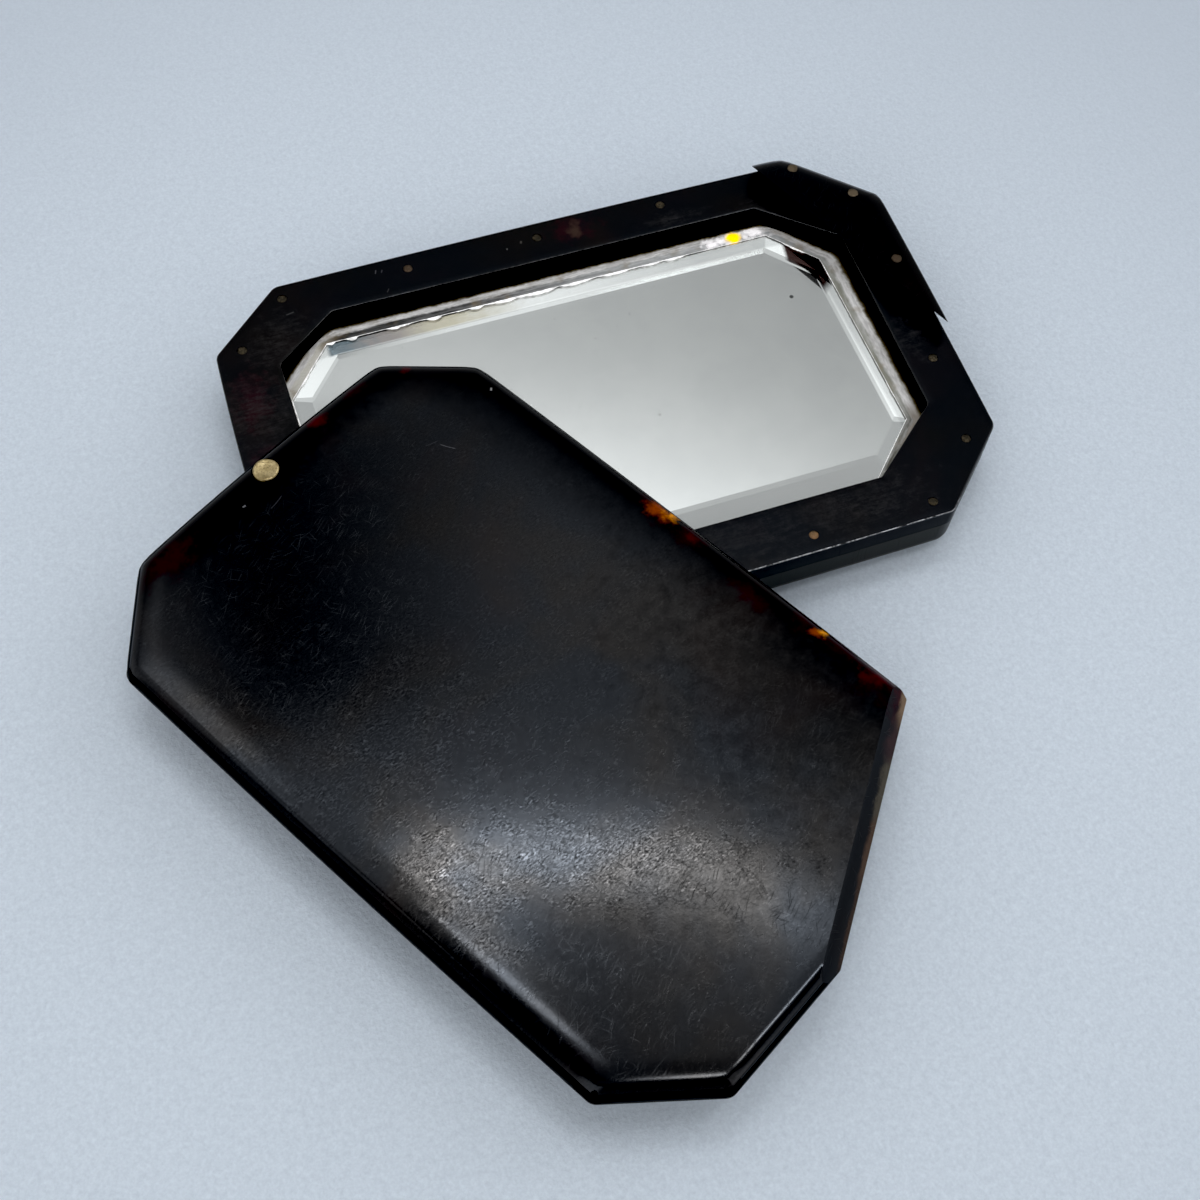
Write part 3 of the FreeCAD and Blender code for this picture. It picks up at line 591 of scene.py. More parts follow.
def slice_slab(ob, shift, keep_inner, slot=0):
    # cuts the slab along the slanted plane of the diagonal and closes the cut
    ang, dist, setback = DIAG
    slope = setback / (Z_TOP - Z_COVER)
    no = Vector((math.cos(ang), math.sin(ang), slope)).normalized()
    co = Vector((math.cos(ang) * (dist + shift) * MM, math.sin(ang) * (dist + shift) * MM, Z_COVER * MM))
    bm = bmesh.new()
    bm.from_mesh(ob.data)
    res = bmesh.ops.bisect_plane(bm, geom=bm.verts[:] + bm.edges[:] + bm.faces[:], dist=1e-8, plane_co=co,
                                 plane_no=no, clear_outer=keep_inner, clear_inner=not keep_inner)
    rim = [e for e in res["geom_cut"] if isinstance(e, bmesh.types.BMEdge)]
    for f in bmesh.ops.edgeloop_fill(bm, edges=rim)["faces"]:
        f.material_index = slot
    bmesh.ops.recalc_face_normals(bm, faces=bm.faces[:])
    bm.to_mesh(ob.data)
    bm.free()
    ob.data.update()


def lathe(cx, cy, prof, seg, jitter=None):
    # turned solid: prof is (radius, z) from the bottom centre to the top centre
    verts, faces = [(cx, cy, prof[0][1])], []
    for k, (r, z) in enumerate(prof[1:-1]):
        for i in range(seg):
            a = 2 * math.pi * i / seg
            dr, dz = jitter(k, a, r, z) if jitter else (0.0, 0.0)
            verts.append((cx + (r + dr) * math.cos(a), cy + (r + dr) * math.sin(a), z + dz))
    verts.append((cx, cy, prof[-1][1]))
    last = len(verts) - 1
    rows = len(prof) - 2
    faces += [(0, 1 + (i + 1) % seg, 1 + i) for i in range(seg)]
    for k in range(rows - 1):
        a, b = 1 + k * seg, 1 + (k + 1) * seg
        faces += [(a + i, a + (i + 1) % seg, b + (i + 1) % seg, b + i) for i in range(seg)]
    a = 1 + (rows - 1) * seg
    faces += [(a + i, a + (i + 1) % seg, last) for i in range(seg)]
    return verts, faces


# ------------------------------------------------------------------ the materials in use
AMBER, ORANGE, RED, DEEP, TAN, UMBER = ((0.78, 0.30, 0.012), (0.24, 0.045, 0.005), (0.05, 0.004, 0.006),
                                        (0.016, 0.003, 0.005), (0.34, 0.24, 0.14), (0.045, 0.026, 0.018))
M_COVER = shell("cover_shell", 1.0, 0.085, 0.36, speckle=True, spec=0.79, wear=0.2, dull=((6.0, -42.0, 9.6, 17.0, -60, 1.6), (-10.5, -57.8, 9.6, 6.0, -18, 2.2)), busy=(
    ((-16.8, -52.0, 9.6, 6.5, -18, 3.2), 1.05), ((-32.0, -51.0, 9.6, 6.5, -75, 1.7), 1.25), ((-36.5, -31.0, 9.6, 17.0, -30, 1.3), 0.55),
), fade=((0.8695, 0.4939, -7.15, 1.0, 10.0, 0.12), (-0.4939, 0.8695, 20.85, 2.5, 6.5, 0.12), (0.3107, 0.9505, 2.685, 1.5, 7.0, 0.25)), lint=(
    (-12.2, 2.8, 70, 0.22, 0.14, (0.26, 0.26, 0.26)), (-41.0, -3.75, 20, 0.2, 0.13, (0.16, 0.16, 0.17)),
    (-18.8, -3.0, -35, 0.9, 0.07, (0.07, 0.07, 0.075)), (-20.3, -2.1, 10, 0.8, 0.05, (0.03, 0.03, 0.033)),
    (-37.7, -4.3, 40, 1.0, 0.06, (0.04, 0.04, 0.045)),
    (-7.6, -54.2, -69, 3.2, 0.1, (0.0015, 0.0015, 0.0015)),
), patches=(
    (DEEP, ((1.9, -21.2, 9.3, 1.6, -60, 1.6), (5.4, -29.6, 9.5, 1.6, -60, 1.8), (12.4, -38.4, 9.3, 1.7, -60, 2.4),
            (14.4, -43.0, 9.3, 2.6, -50, 1.4), (-49.5, -7.6, 9.4, 2.6, 35, 1.8), (-26.0, 7.2, 9.3, 1.2, 30, 2.0),
            (9.9, -34.3, 9.4, 1.7, -60, 1.5), (-0.3, -17.0, 9.5, 1.8, -60, 1.5), (4.0, -62.0, 8.0, 1.2, 54, 6.0))),
    ((0.021, 0.0075, 0.0085), ((-49.0, -7.2, 9.4, 1.5, 35, 2.0),)),
    (RED, ((-31.1, 4.5, 9.4, 1.2, 30, 1.3), (-20.4, 8.3, 9.2, 0.8, 30, 1.3), (14.9, -42.2, 9.2, 1.9, -50, 1.7),
           (2.1, -21.4, 9.3, 0.6, -60, 1.5))),
    # the orange and amber patches by the slanted end are painted light: light shining through the thin shell there,
    # laid on as base colour
    (ORANGE, ((-0.2, -16.9, 9.5, 1.2, -20, 1.5), (0.7, -18.0, 9.3, 1.2, -60, 1.4), (10.3, -35.7, 9.4, 0.75, -40, 1.4))),
    (AMBER, ((1.0, -18.3, 9.0, 0.9, -60, 1.6), (10.95, -35.9, 9.1, 0.62, -60, 1.4))),
))
M_FACET = shell("facet_shell", 6.0, 0.16, 0.5, dark=(0.0115, 0.0115, 0.0125), tint=(0.013, 0.0115, 0.0115), patches=(
    (DEEP, ((15.2, -45.6, 8.4, 2.4, 54, 1.6),)),
    (RED, ((16.2, -44.6, 8.8, 1.2, 54, 1.4),)),
), spec=0.07, edge=((-33.0, -4.0, 0.5, UMBER), (-24.0, -17.0, 0.75, (0.075, 0.045, 0.03)), (-17.5, -11.0, 1.05, (0.075, 0.064, 0.048)),
                    (-11.0, -7.0, 1.5, (0.04, 0.022, 0.022)), (-6.5, -3.4, 0.85, (0.2, 0.135, 0.085))))
M_FRAME = shell("frame_shell", 40.0, 0.29, 0.9, dark=(0.0036, 0.0036, 0.0038), tint=(0.0058, 0.0044, 0.0044), dusty=0.62, lint=(
    (-19.55, 24.2, 70, 0.28, 0.07, (0.09, 0.09, 0.1)), (-18.85, 24.1, 65, 0.22, 0.07, (0.06, 0.06, 0.07)),
    (-18.9, 21.2, 55, 0.3, 0.06, (0.05, 0.05, 0.05)), (-30.3, 21.3, 10, 0.5, 0.1, (0.045, 0.045, 0.045)),
    (-2.3, 23.45, 70, 0.2, 0.15, (0.06, 0.055, 0.05)), (-4.15, 22.95, 70, 0.13, 0.1, (0.1, 0.1, 0.1)),
), patches=(
    (DEEP, ((-37.0, 11.0, 7, 3.0, 80, 1.8), (-36.5, 3.0, 7, 2.2, 0, 1.5), (3.7, 23.4, 7, 2.2, 0, 1.8))),
    (UMBER, ((4.2, 23.3, 7, 1.1, 70, 1.5),)),
), haze=((-36.5, 9.0, 7, 7.0, 0, 1), (-37.0, 0.0, 7, 6.0, 0, 1), (-32.5, 18.0, 7, 4.0, 40, 1.5), (36.0, -2.5, 7, 3.2, 80, 1.6),
         (28.0, 20.9, 7, 1.6, 0, 1.6), (26.4, 21.4, 7, 1.6, 0, 1.6), (16.0, 21.6, 7, 1.2, 0, 4.0),
         (6.0, -22.0, 7, 5.0, 0, 3.0), (21.0, -21.5, 7, 4.5, 0, 2.5)), spec=0.175, wear=0.16)
M_RIM = shell("frame_polished_edge", 44.0, 0.09, 1.4, dark=(0.0045, 0.0045, 0.0047), tint=(0.006, 0.005, 0.005), spec=0.5, wear=0.3)
M_EDGE_HIGHLIGHT = frame_edge_highlight()
M_WALL = shell("frame_wall", 66.0, 0.36, 0.5, dark=(0.0085, 0.009, 0.0108), tint=(0.0105, 0.0105, 0.012), spec=0.06, wear=0.1)
M_BACK = shell("back_shell", 70.0, 0.3, 0.8, dark=(0.022, 0.0228, 0.0205), tint=(0.026, 0.025, 0.0225), spec=0.09)
M_CORNER = shell("corner_shell", 55.0, 0.12, 0.5, dark=(0.0052, 0.0052, 0.0056), tint=(0.0066, 0.0056, 0.0056), spec=0.15)
M_SIDE = shell("shell_side", 61.0, 0.42, 0.5, dark=(0.003, 0.003, 0.0032), tint=(0.004, 0.0035, 0.0035), spec=0.015, wear=0.1)
M_PIN = brass("pin_brass", 3.0, (0.075, 0.062, 0.043), (0.04, 0.036, 0.028), (0.018, 0.017, 0.016), 0.5, clean=(
    ((0.27, 0.16, 0.085), ((15.35, -23.7, 7.0, 1.6, 0, 1),)),
    ((0.14, 0.11, 0.075), ((31.17, 22.6, 9.6, 1.7, 0, 1), (36.57, 16.96, 9.6, 1.7, 0, 1))),
    ((0.085, 0.062, 0.045), ((37.56, 6.35, 9.6, 1.3, 0, 1), (-15.89, 23.6, 7.0, 1.3, 0, 1)))))
M_RIVET = brass("rivet_brass", 8.0, (0.52, 0.42, 0.23), (0.34, 0.265, 0.13), (0.17, 0.12, 0.06), 0.38)
M_GLASS = clear_glass()
M_CHIP = glass_chips()
M_EDGE = glass_edge()
M_SILVER = silver_coat("silver_coat")
M_CARD = card_stock()


def paint(ob, mat):
    ob.data.materials.clear()
    ob.data.materials.append(mat)


def dull_sides(ob, top=9.0, pivot_end=9.0, near_corner=9.0):
    # the upright part of the edge was never polished: it gets the duller material, higher up round the pivot end
    for f in ob.data.polygons:
        high = pivot_end if f.normal.x < -0.12 and f.normal.y > -0.12 else top
        if f.normal.y < 0 and -0.6 < f.normal.x / f.normal.y < -0.15:
            high = max(high, near_corner)
        if f.center.z < high * MM and (abs(f.normal.z) < 0.8 or f.center.z < 8.7 * MM) and f.area < 6e-6:
            f.material_index = 1


# ------------------------------------------------------------------ cover
verts, faces = rolled_slab(Z_COVER, Z_TOP, tight=(1, 1, 1, 1, 1, 1, 1, 1))
cover = make("cover_plate", verts, faces, [M_COVER, M_SIDE, M_FACET], sharp=0)
dull_sides(cover, pivot_end=9.33, near_corner=9.2)
slice_slab(cover, 0.0, True, 2)
turn = (Matrix.Translation((PIVOT[0] * MM, PIVOT[1] * MM, 0)) @ Matrix.Rotation(math.radians(OPEN), 4, "Z")
        @ Matrix.Translation((-PIVOT[0] * MM, -PIVOT[1] * MM, 0)))
cover.data.transform(turn)
cut(cover, [drums("hole", [(*PIVOT, 0.9)], 7.0, 10.0), drums("seat", [(*PIVOT, 1.55)], 9.05, 10.0)], sharp=35)
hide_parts("swivel_cover")
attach(cover, "cover")

# ------------------------------------------------------------------ corner block
verts, faces = rolled_slab(Z_FRAME, Z_TOP, lower=0.05, tight=(1, 1, 0.3, 1.05, 1.05, 1, 1, 1), roll=1.95)
corner = make("corner_block", verts, faces, [M_CORNER, M_SIDE], sharp=0)
dull_sides(corner)
slice_slab(corner, 0.15, False)
cut(corner, [drums("holes", [(x, y, 0.61) for x, y in CPINS], 6.5, 10.0, 34)], sharp=35)
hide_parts("corner_stop")
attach(corner, "case")


# ------------------------------------------------------------------ frame ring
def ray_loop(loop, angles, c):
    # distance from c to a star-shaped loop along each angle
    p = np.array(loop) - c
    q = np.roll(p, -1, axis=0)
    out = []
    for a in angles:
        d = np.array([math.cos(a), math.sin(a)])
        best = None
        den = d[0] * (q[:, 1] - p[:, 1]) - d[1] * (q[:, 0] - p[:, 0])
        with np.errstate(divide="ignore", invalid="ignore"):
            tt = (p[:, 0] * (q[:, 1] - p[:, 1]) - p[:, 1] * (q[:, 0] - p[:, 0])) / den
            uu = (p[:, 0] * d[1] - p[:, 1] * d[0]) / den
        ok = (tt > 0) & (uu >= -1e-9) & (uu <= 1 + 1e-9) & (np.abs(den) > 1e-12)
        out.append(float(np.min(tt[ok])))
    return np.array(out)


def rounded(poly, r, arc=5):
    # polygon with rounded vertices
    pts = []
    n = len(poly)
    for i in range(n):
        a, b, c = (np.array(poly[(i + k) % n], float) for k in (-1, 0, 1))
        d0, d1 = (a - b) / np.linalg.norm(a - b), (c - b) / np.linalg.norm(c - b)
        half = math.acos(float(d0 @ d1)) / 2
        tl = r / math.tan(half)
        centre = b + (d0 + d1) / np.linalg.norm(d0 + d1) * r / math.sin(half)
        s, e = b + d0 * tl - centre, b + d1 * tl - centre
        a0, a1 = math.atan2(s[1], s[0]), math.atan2(e[1], e[0])
        if a1 < a0:
            a1 += 2 * math.pi
        pts += [centre + r * np.array([math.cos(a0 + (a1 - a0) * j / arc), math.sin(a0 + (a1 - a0) * j / arc)])
                for j in range(arc + 1)]
    return np.array(pts)


def frame_ring():
    c = np.array([0.4, 0.5])
    win = rounded(WIN, 0.7)
    ang = set()
    for loop in (OUT_P, win):
        for p in loop:
            ang.add(round(math.atan2(p[1] - c[1], p[0] - c[0]), 6))
    ang |= {round(-math.pi + 2 * math.pi * k / 240 + 0.0031, 6) for k in range(240)}
    ang = np.array(sorted(ang))
    ang = ang[np.concatenate([[True], np.diff(ang) > 1e-4])]
    ro, ri = ray_loop(OUT_P, ang, c), ray_loop(win, ang, c)
    d = np.c_[np.cos(ang), np.sin(ang)]
    rng = np.random.RandomState(5)
    wob = np.zeros(len(ang))
    for k in range(1, 40):
        wob += rng.normal() * np.sin(k * ang + rng.uniform(0, 6.28)) / k ** 0.6
    wob *= 0.03 / np.max(np.abs(wob))
    b = 0.2
    rows = [(ro - 0.07, Z_BACK), (ro, Z_BACK + 0.07)]
    for k in range(8):
        q = math.pi / 2 * k / 7
        rows.append((ro - b * (1 - math.cos(q)), Z_FRAME - b * (1 - math.sin(q))))
    for k in range(1, 8):
        f = k / 8
        rows.append(((ro - b) * (1 - f) + (ri + 0.14 + wob) * f, Z_FRAME))
    for k in range(7):
        q = math.pi / 2 * k / 6
        rows.append((ri + 0.14 * (1 - math.sin(q)) + wob * (1 - 0.5 * k / 6), Z_FRAME - 0.14 * (1 - math.cos(q))))
    rows.append((ri, Z_BACK))
    n = len(ang)
    verts, faces = [], []
    for r, z in rows:
        for i in range(n):
            verts.append((c[0] + d[i, 0] * r[i], c[1] + d[i, 1] * r[i], z))
    m = len(rows)
    for k in range(m):
        for i in range(n):
            j = (i + 1) % n
            kk = (k + 1) % m
            faces.append((k * n + i, k * n + j, kk * n + j, kk * n + i))
    return verts, faces


verts, faces = frame_ring()
ring = make("frame_ring", verts, faces, [M_FRAME, M_SIDE, M_RIM, M_EDGE_HIGHLIGHT, M_WALL], sharp=0)
# the steeper band of the rounded upper edges gets the painted highlight material, the rest of it the polished edge
for f in ring.data.polygons:
    if abs(f.normal.z) < 0.2 and f.center.z < 6.79 * MM:
        f.material_index = 4 if f.normal.xy.dot(f.center.xy) > 0 else 1
    elif 0.03 < f.normal.z < 0.985 and f.center.z > 6.79 * MM:
        f.material_index = 3 if 0.45 < f.normal.z < 0.9 else 2
cut(ring, [drums("holes", [(x, y, 0.53) for x, y in PINS] + [(x, y, 0.61) for x, y in CPINS] + [(*PIVOT, 0.86)],
                 4.0, 7.5)], sharp=28)
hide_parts("mirror_frame")
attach(ring, "case")

# ------------------------------------------------------------------ back plate (CAD shape)
paint(nodes["back_plate"], M_BACK)
nodes["back_plate"].data.shade_smooth()
nodes["back_plate"].data.set_sharp_from_angle(angle=math.radians(30))


# ------------------------------------------------------------------ glass
def octagon(hx, hy, c, cy):
    return np.array([(-hx + c, cy - hy), (hx - c, cy - hy), (hx, cy - hy + c), (hx, cy + hy - c),
                     (hx - c, cy + hy), (-hx + c, cy + hy), (-hx, cy + hy - c), (-hx, cy - hy + c)])


def glass_plate():
    # hand-ground bevels of unequal width: the flat's outline, then the width of the bevel beyond each of its sides
    flat = np.array([(-25.65, -15.2), (26.6, -15.18), (30.6, -11.1), (30.05, 10.84), (25.6, 15.75), (-26.4, 15.75),
                     (-30.6, 10.9), (-30.4, -10.45)])
    width = [3.1, 1.3, 1.25, 2.05, 2.1, 1.95, 2.2, 2.3]
    rim = octagon(35.6, 20.75, 7.75, 0.15)
    z_flat, slope, z_silver, z_low = 4.9, 0.16, 4.1, 3.53
    rng = np.random.RandomState(11)
    nrm, off = [], []
    for i in range(8):
        d = flat[(i + 1) % 8] - flat[i]
        nn = np.array([d[1], -d[0]]) / np.linalg.norm(d)
        nrm.append(nn)
        off.append(float(nn @ flat[i]))
    nrm, off = np.array(nrm), np.array(off)

    def height(p):
        return z_flat - slope * np.max(p @ nrm.T - off, axis=1)

    def meet(i, wi, j, wj):
        return np.linalg.solve(np.array([nrm[i], nrm[j]]), np.array([off[i] + wi, off[j] + wj]))

    # lengths of outline: crease from, crease to, edge from, edge to, count
    lengths = []
    for i in range(8):
        h, j = (i - 1) % 8, (i + 1) % 8
        start = meet(h, width[h], i, width[i]) if width[i] > width[h] else meet(h, width[i], i, width[i])
        end = meet(i, width[i], j, width[j]) if width[i] > width[j] else meet(i, width[i], j, width[i])
        if width[i] > width[h]:
            lengths.append((flat[i], flat[i], meet(h, width[h], i, width[h]), start, 6))
        lengths.append((flat[i], flat[j], start, end, (170, 40, 80, 40, 170, 40, 80, 40)[i]))
        if width[i] > width[j]:
            lengths.append((flat[j], flat[j], end, meet(i, width[j], j, width[j]), 6))
    fs, ws = [], []
    for a, b, c, d, k in lengths:
        for q in range(k):
            fs.append(a * (1 - q / k) + b * q / k)
            ws.append(c * (1 - q / k) + d * q / k)
    fs, ws = np.array(fs), np.array(ws)
    n = len(ws)
    # the edge is chipped: shallow bites, some long and lens shaped
    out = ws - fs
    out = out / np.linalg.norm(out, axis=1)[:, None]
    along = np.concatenate([[0], np.cumsum(np.linalg.norm(np.diff(ws, axis=0), axis=1))])
    bite = 0.02 + 0.02 * np.abs(rng.normal(size=n))
    lens = [(along[np.argmin(np.hypot(ws[:, 0] - x, ws[:, 1] - y))], half, deep) for x, y, half, deep in (
        (-27.0, 18.0, 0.50, 0.45), (-24.2, 17.8, 0.75, 0.50), (-19.3, 17.9, 0.90, 0.42), (-14.4, 17.8, 1.10, 0.50), (-9.6, 17.8, 1.00, 0.42),
        (-6.0, 17.8, 1.80, 0.45), (-1.8, 17.8, 2.40, 0.50), (2.5, 17.8, 2.00, 0.40), (7.4, 17.8, 2.20, 0.35), (11.8, 17.7, 1.60, 0.30))]
    lens += [(rng.uniform(0, along[-1]), rng.uniform(0.8, 2.0), rng.uniform(0.1, 0.3)) for _ in range(24)]
    for at, half, deep in lens:
        bite = np.maximum(bite, deep * np.clip(1 - ((along - at) / half) ** 2, 0, 1) + 0.02 * rng.normal(size=n))
    bite *= np.where((ws[:, 1] > 14) | (ws[:, 0] < -28), 1.0, 0.3)
    bite = np.clip(bite, 0.015, 0.6)
    edge = ws - out * bite[:, None]
    # outer rim by the same directions from the middle
    ang = np.arctan2(ws[:, 1] - 0.15, ws[:, 0])
    far_r = ray_loop(rim, ang, np.array([0.0, 0.15]))
    rs = np.c_[np.cos(ang) * far_r, np.sin(ang) * far_r + 0.15]
    verts, faces, fm, across, alon = [], [], [], [], []

    def row(p, z, e):
        k = len(verts)
        verts.extend((float(x), float(y), float(h)) for (x, y), h in zip(p, z))
        across.extend([e] * n)
        alon.extend(float(v) for v in along)
        return k

    zero = np.zeros(n)
    rows = [row(flat_p, z, 0.0) for flat_p, z in ((fs, zero + z_flat), (edge, height(edge)))]
    z_edge = height(ws) - 0.04
    rows.append(row(ws + out * 0.06, z_edge, 0.02))
    for f in (0.2, 0.4, 0.6, 0.8, 1.0):
        p = ws * (1 - f) + rs * f
        rows.append(row(p, z_edge * (1 - f) + 3.95 * f + 0.015 * rng.normal(size=n) * (f < 1), f))
    rows.append(row(rs, zero + z_low, 1.0))
    inner = ws + out * 0.4
    rows.append(row(inner, zero + z_low, 1.0))
    rows.append(row(inner, zero + z_silver, 1.0))
    kinds = [0, 1, 2, 2, 2, 2, 2, 2, 2, 2]
    # crease points that coincide at the corners are one vertex
    faces.append(tuple(range(n)))
    fm.append(0)
    for k in range(len(rows) - 1):
        a, b = rows[k], rows[k + 1]
        for i in range(n):
            j = (i + 1) % n
            faces.append((a + j, a + i, b + i, b + j))
            fm.append(kinds[k])
    faces.append(tuple(reversed(range(rows[-1], rows[-1] + n))))
    fm.append(3)
    ob = make("bevelled_glass", verts, faces, [M_GLASS, M_CHIP, M_EDGE, M_SILVER], sharp=0, face_mat=fm)
    for name, data in (("across", across), ("along", alon)):
        att = ob.data.attributes.new(name, "FLOAT", "POINT")
        att.data.foreach_set("value", data)
    bm = bmesh.new()
    bm.from_mesh(ob.data)
    bmesh.ops.remove_doubles(bm, verts=bm.verts[:], dist=1e-7)
    bmesh.ops.dissolve_degenerate(bm, dist=1e-7, edges=bm.edges[:])
    bm.to_mesh(ob.data)
    bm.free()
    ob.data.update()
    ob.data.shade_smooth()
    ob.data.set_sharp_from_angle(angle=math.radians(3.0))
    return ob


glass = glass_plate()
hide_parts("mirror_glass")
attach(glass, "case")
paint(nodes["mirror_silvering"], M_SILVER)
paint(nodes["backing_card"], M_CARD)


# ------------------------------------------------------------------ pins
def pin_group(name, spots, r, z1, seed):
    rng = random.Random(seed)
    verts, faces = [], []
    for x, y in spots:
        ph = [rng.uniform(0, 6.28) for _ in range(4)]
        am = [rng.uniform(0.01, 0.05) for _ in range(4)]
        tilt = (rng.uniform(-0.02, 0.02), rng.uniform(-0.02, 0.02))

        def jitter(k, a, rad, z, ph=ph, am=am, tilt=tilt):
            top = z > z1 - 0.3
            dr = sum(m * math.sin((q + 2) * a + p) for q, (m, p) in enumerate(zip(am, ph))) * rad * 0.9 if top else 0.0
            dz = (tilt[0] * math.cos(a) + tilt[1] * math.sin(a)) * rad / r if top else 0.0
            return min(dr, 0.015), dz

        prof = [(0, 0.05), (r * 0.8, 0.05), (r, 0.12), (r, z1 - 0.2), (r * 0.99, z1 - 0.02), (r * 0.9, z1 + 0.012),
                (r * 0.6, z1 + 0.022), (r * 0.3, z1 + 0.02), (0, z1 + 0.018)]
        v, f = lathe(x, y, prof, 28, jitter)
        k = len(verts)
        verts += v
        faces += [tuple(k + i for i in q) for q in f]
    return make(name, verts, faces, [M_PIN], sharp=35)


pins = pin_group("brass_pins", PINS, 0.52, Z_FRAME, 3)
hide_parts("frame_pins")
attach(pins, "case")
cpins = pin_group("brass_corner_pins", CPINS, 0.6, Z_TOP, 8)
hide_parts("corner_pins")
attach(cpins, "case")


# ------------------------------------------------------------------ rivet
def rivet_jitter(k, a, r, z):
    if z < 9.3:
        return 0.0, 0.0
    dr = (0.03 * math.sin(2 * a + 0.7) + 0.02 * math.sin(3 * a + 2.1) + 0.012 * math.sin(5 * a)) * r / 1.4
    dz = 0.03 * math.sin(a + 0.4) * r / 1.4 + 0.015 * math.sin(3 * a + 1.0) * r / 1.4
    return dr, dz


prof = [(0, 0.1), (0.9, 0.1), (1.15, 0.3), (1.15, 0.5), (0.85, 0.52), (0.85, 9.06), (1.33, 9.08), (1.4, 9.15),
        (1.4, 9.46), (1.37, 9.56), (1.28, 9.62), (1.16, 9.63), (1.0, 9.6), (0.75, 9.565), (0.5, 9.54), (0.25, 9.53), (0, 9.53)]
verts, faces = lathe(*PIVOT, prof, 64, rivet_jitter)
rivet = make("worn_rivet", verts, faces, [M_RIVET], sharp=40)
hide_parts("pivot_rivet")
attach(rivet, "case")
for name in ("pivot_washer", "rivet_burr"):
    paint(nodes[name], M_RIVET)

# ------------------------------------------------------------------ floor
bpy.ops.mesh.primitive_plane_add(size=3.0, location=(0, 0, -0.00002))
floor = bpy.context.object
floor.name = "floor"
floor.data.materials.append(floor_paper())

# ------------------------------------------------------------------ light
# soft room seen by direction: el is the height above the horizon, az runs from +Y towards +X, both in degrees
world = bpy.data.worlds.new("soft_room")
scene.world = world
world.use_nodes = True
t = world.node_tree
t.nodes.clear()
w_out = t.nodes.new("ShaderNodeOutputWorld")
w_bg = nd(t, "Background", {"Color": (0.985, 1.0, 1.02, 1.0)})
t.links.new(w_bg.outputs[0], w_out.inputs[0])
way = nd(t, "SeparateXYZ", {0: nd(t, "TexCoord").outputs["Generated"]}).outputs
EL = mth(t, "MULTIPLY", mth(t, "ARCSINE", way[2]), 180 / math.pi)
AZ = mth(t, "MULTIPLY", mth(t, "ARCTAN2", way[0], way[1]), 180 / math.pi)


def stops(value, table, top):
    cr = nd(t, "ValToRGB", {0: mth(t, "DIVIDE", value, 90.0)})
    while len(cr.color_ramp.elements) < len(table):
        cr.color_ramp.elements.new(0.5)
    for e, (pos, val) in zip(cr.color_ramp.elements, table):
        e.position = pos / 90.0
        e.color = (val / top, val / top, val / top, 1)
    return mth(t, "MULTIPLY", cr.outputs[0], top)


def times(*vals):
    r = vals[0]
    for v in vals[1:]:
        r = mth(t, "MULTIPLY", r, v)
    return r


def bell(value, centre, width):
    q = mth(t, "DIVIDE", mth(t, "SUBTRACT", value, centre), width)
    return mth(t, "EXPONENT", mth(t, "MULTIPLY", mth(t, "MULTIPLY", q, q), -1.0))


def step(value, lo, hi):
    return ramp(t, value, lo, hi, 0.0, 1.0, smooth=True)


def window(value, a, b, c, d):
    return mth(t, "MULTIPLY", step(value, a, b), ramp(t, value, c, d, 1.0, 0.0, smooth=True))


far = stops(EL, [(0, .46), (34, .50), (41, .44), (46, .37), (50, .42), (52.5, .49), (53.8, .557), (55.1, .66), (56.5, .80),
                 (58, .96), (60, 1.2), (64, 1.3), (66, 1.45), (68, 1.6), (72, 1.4), (74, 1.2), (75.5, .85), (78, .4), (90, .25)], 2.0)
low = mth(t, "SUBTRACT", 1.0, step(EL, 56.5, 59.0))
lean = mth(t, "MULTIPLY_ADD", ramp(t, AZ, 12.0, 37.0, 0.12, -0.12), low, 1.0)
gap = ramp(t, AZ, 1.0, 20.0, 0.15, 1.0, smooth=True)
clear = mth(t, "MAXIMUM", step(EL, 63.5, 66.5), mth(t, "SUBTRACT", 1.0, step(EL, 53.5, 56.5)))
clear = mth(t, "MAXIMUM", clear, mth(t, "SUBTRACT", 1.0, step(AZ, -14.0, -2.5)))
gap = mth(t, "ADD", mth(t, "MULTIPLY", gap, mth(t, "SUBTRACT", 1.0, clear)), clear)
dim = times(step(AZ, 26.0, 42.0), step(EL, 58.5, 61.5), mth(t, "SUBTRACT", 1.0, step(EL, 64.0, 67.0)))
far = times(far, gap, lean, mth(t, "MULTIPLY_ADD", dim, -0.42, 1.0))
far = times(far, ramp(t, AZ, 55.0, 85.0, 1.0, 0.7, smooth=True), ramp(t, AZ, -62.0, -40.0, 0.5, 1.0, smooth=True))
hole = times(step(EL, 68.5, 71.5), ramp(t, way[1], 0.19, 0.26, 0.88, 0.0, smooth=True), ramp(t, way[0], -0.03, 0.01, 1.0, 0.0, smooth=True))
far = mth(t, "MULTIPLY", far, mth(t, "SUBTRACT", 1.0, hole))
near = stops(EL, [(0, .26), (30, .24), (45, .16), (60, .12), (72, .12), (80, .25), (90, .25)], 2.0)
turn_az = mth(t, "ABSOLUTE", mth(t, "SUBTRACT", mth(t, "MODULO", mth(t, "ADD", AZ, 350.0), 360.0), 180.0))
side = ramp(t, turn_az, 74.0, 92.0, 1.0, 0.0, smooth=True)
room = mth(t, "ADD", mth(t, "MULTIPLY", near, side), mth(t, "MULTIPLY", far, mth(t, "SUBTRACT", 1.0, side)))


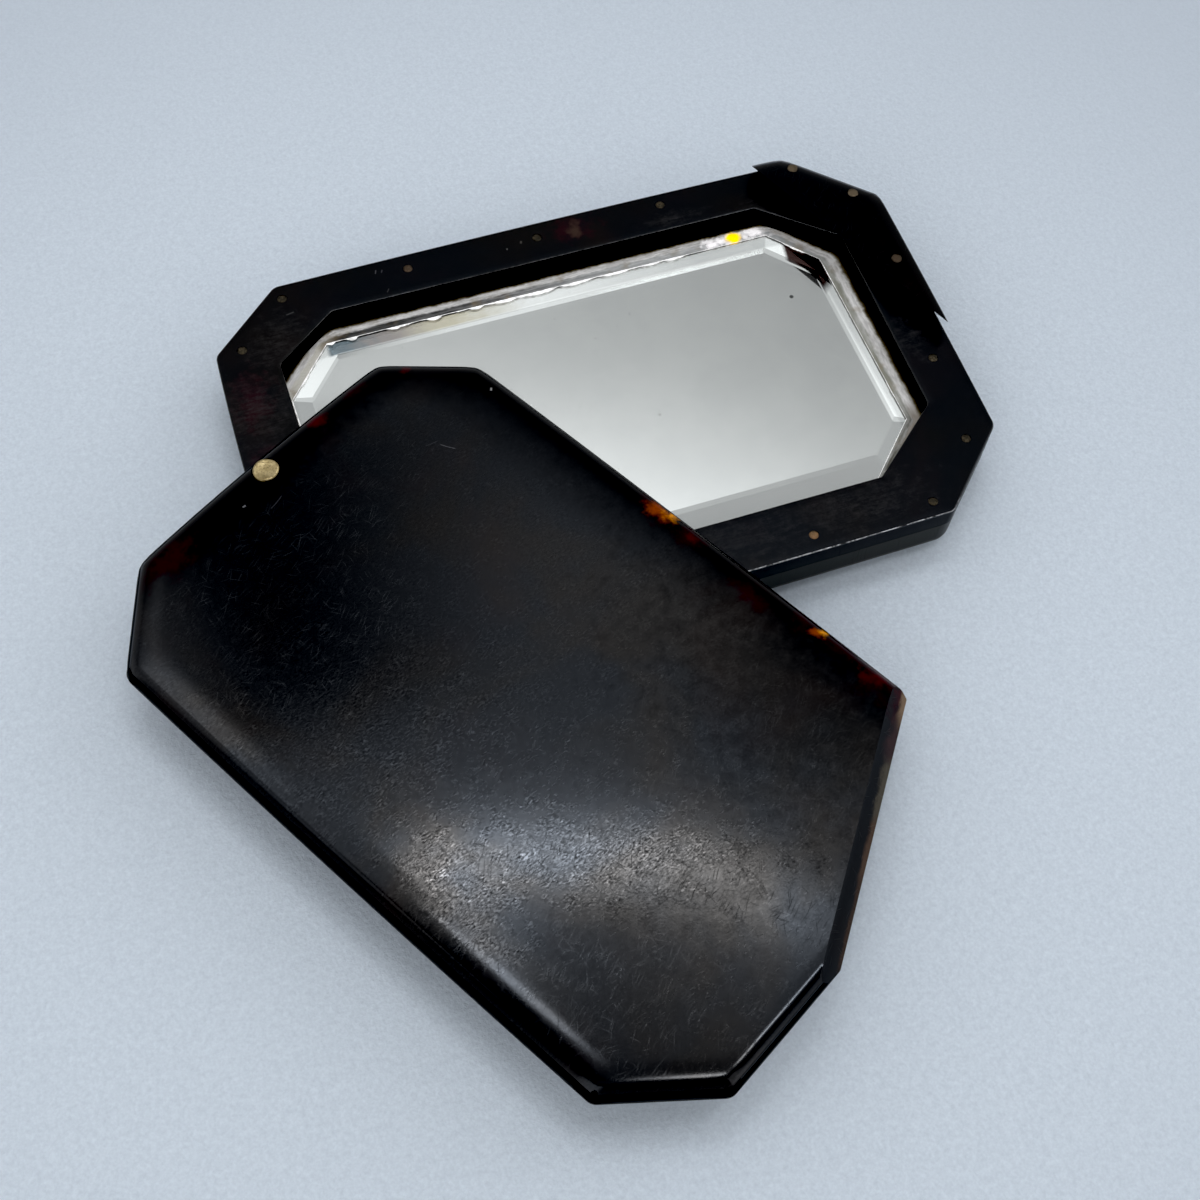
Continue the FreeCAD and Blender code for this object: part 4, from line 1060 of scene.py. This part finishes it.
def patch(x, y, ang, long, wide, soft=0.4):
    # soft-edged lamp overhead, placed by the level parts of its direction
    dx, dy = mth(t, "SUBTRACT", way[0], x), mth(t, "SUBTRACT", way[1], y)
    c, sn = math.cos(math.radians(ang)), math.sin(math.radians(ang))
    a = mth(t, "DIVIDE", mth(t, "ADD", mth(t, "MULTIPLY", dx, c), mth(t, "MULTIPLY", dy, sn)), long)
    b = mth(t, "DIVIDE", mth(t, "SUBTRACT", mth(t, "MULTIPLY", dy, c), mth(t, "MULTIPLY", dx, sn)), wide)
    r = mth(t, "SQRT", mth(t, "ADD", mth(t, "MULTIPLY", a, a), mth(t, "MULTIPLY", b, b)))
    return mth(t, "MULTIPLY", ramp(t, r, 1.0 - soft, 1.0 + soft, 1.0, 0.0, smooth=True), step(EL, 40.0, 50.0))


# long soft strip beyond the far side, a short bar at its end and two small lamps overhead
strip = times(bell(EL, 70.2, 0.85), window(AZ, 1.0, 9.0, 32.0, 54.0), 18.0)
bar = mth(t, "ADD", times(patch(0.02, 0.237, -53.0, 0.055, 0.028), 11.5), times(patch(0.048, 0.287, 0.0, 0.03, 0.03, 0.7), 5.0))
zenith = times(patch(0.112, -0.012, 0.0, 0.038, 0.038), 16.0)
right = times(patch(0.315, 0.022, 0.0, 0.085, 0.036), 15.0)
# tall soft panes low on the left and on the near right
glow = times(bell(EL, 64.8, 3.0), window(AZ, -46.0, -34.0, -18.0, -8.0), 1.6)
leftp = times(window(AZ, -90.0, -82.0, -58.0, -44.0), window(EL, 2.0, 8.0, 58.0, 68.0), 0.5)
rightp = times(window(AZ, 56.0, 66.0, 94.0, 104.0), window(EL, 2.0, 8.0, 44.0, 56.0), 1.0)
pane = times(window(AZ, 104.0, 118.0, 142.0, 154.0), window(EL, 0.0, 6.0, 26.0, 38.0), 0.5)
near_right = times(window(AZ, 132.0, 138.0, 154.0, 160.0), window(EL, 4.0, 12.0, 58.0, 66.0), 0.75)
near_left = times(window(AZ, -154.0, -146.0, -118.0, -110.0), window(EL, 4.0, 12.0, 58.0, 66.0), 1.4)
total = room
for more in (strip, bar, zenith, right, glow, leftp, rightp, pane, near_right, near_left):
    total = mth(t, "ADD", total, more)
t.links.new(total, w_bg.inputs["Strength"])

# ------------------------------------------------------------------ camera
az, el, roll = math.radians(-22.298800), math.radians(61.532519), math.radians(3.968193)
back = Vector((math.sin(az) * math.cos(el), -math.cos(az) * math.cos(el), math.sin(el)))
right = (-back).cross(Vector((0, 0, 1))).normalized()
up = right.cross(-back)
r2 = right * math.cos(roll) + up * math.sin(roll)
u2 = up * math.cos(roll) - right * math.sin(roll)
pos = (Vector((-7.362012, -20.697524, 0)) + back * 182.627525) * MM
cam_data = bpy.data.cameras.new("camera")
cam_data.sensor_width = 36.0
cam_data.lens = 1689.941255 / 1200 * 36.0
cam_data.clip_start = 0.005
cam = bpy.data.objects.new("camera", cam_data)
scene.collection.objects.link(cam)
cam.matrix_world = Matrix(((r2.x, u2.x, back.x, pos.x), (r2.y, u2.y, back.y, pos.y), (r2.z, u2.z, back.z, pos.z), (0, 0, 0, 1)))
scene.camera = cam
scene.view_settings.view_transform = "Standard"
scene.view_settings.use_curve_mapping = True
scene.view_settings.curve_mapping.black_level = (0.0102, 0.0102, 0.0102)
scene.view_settings.curve_mapping.update()
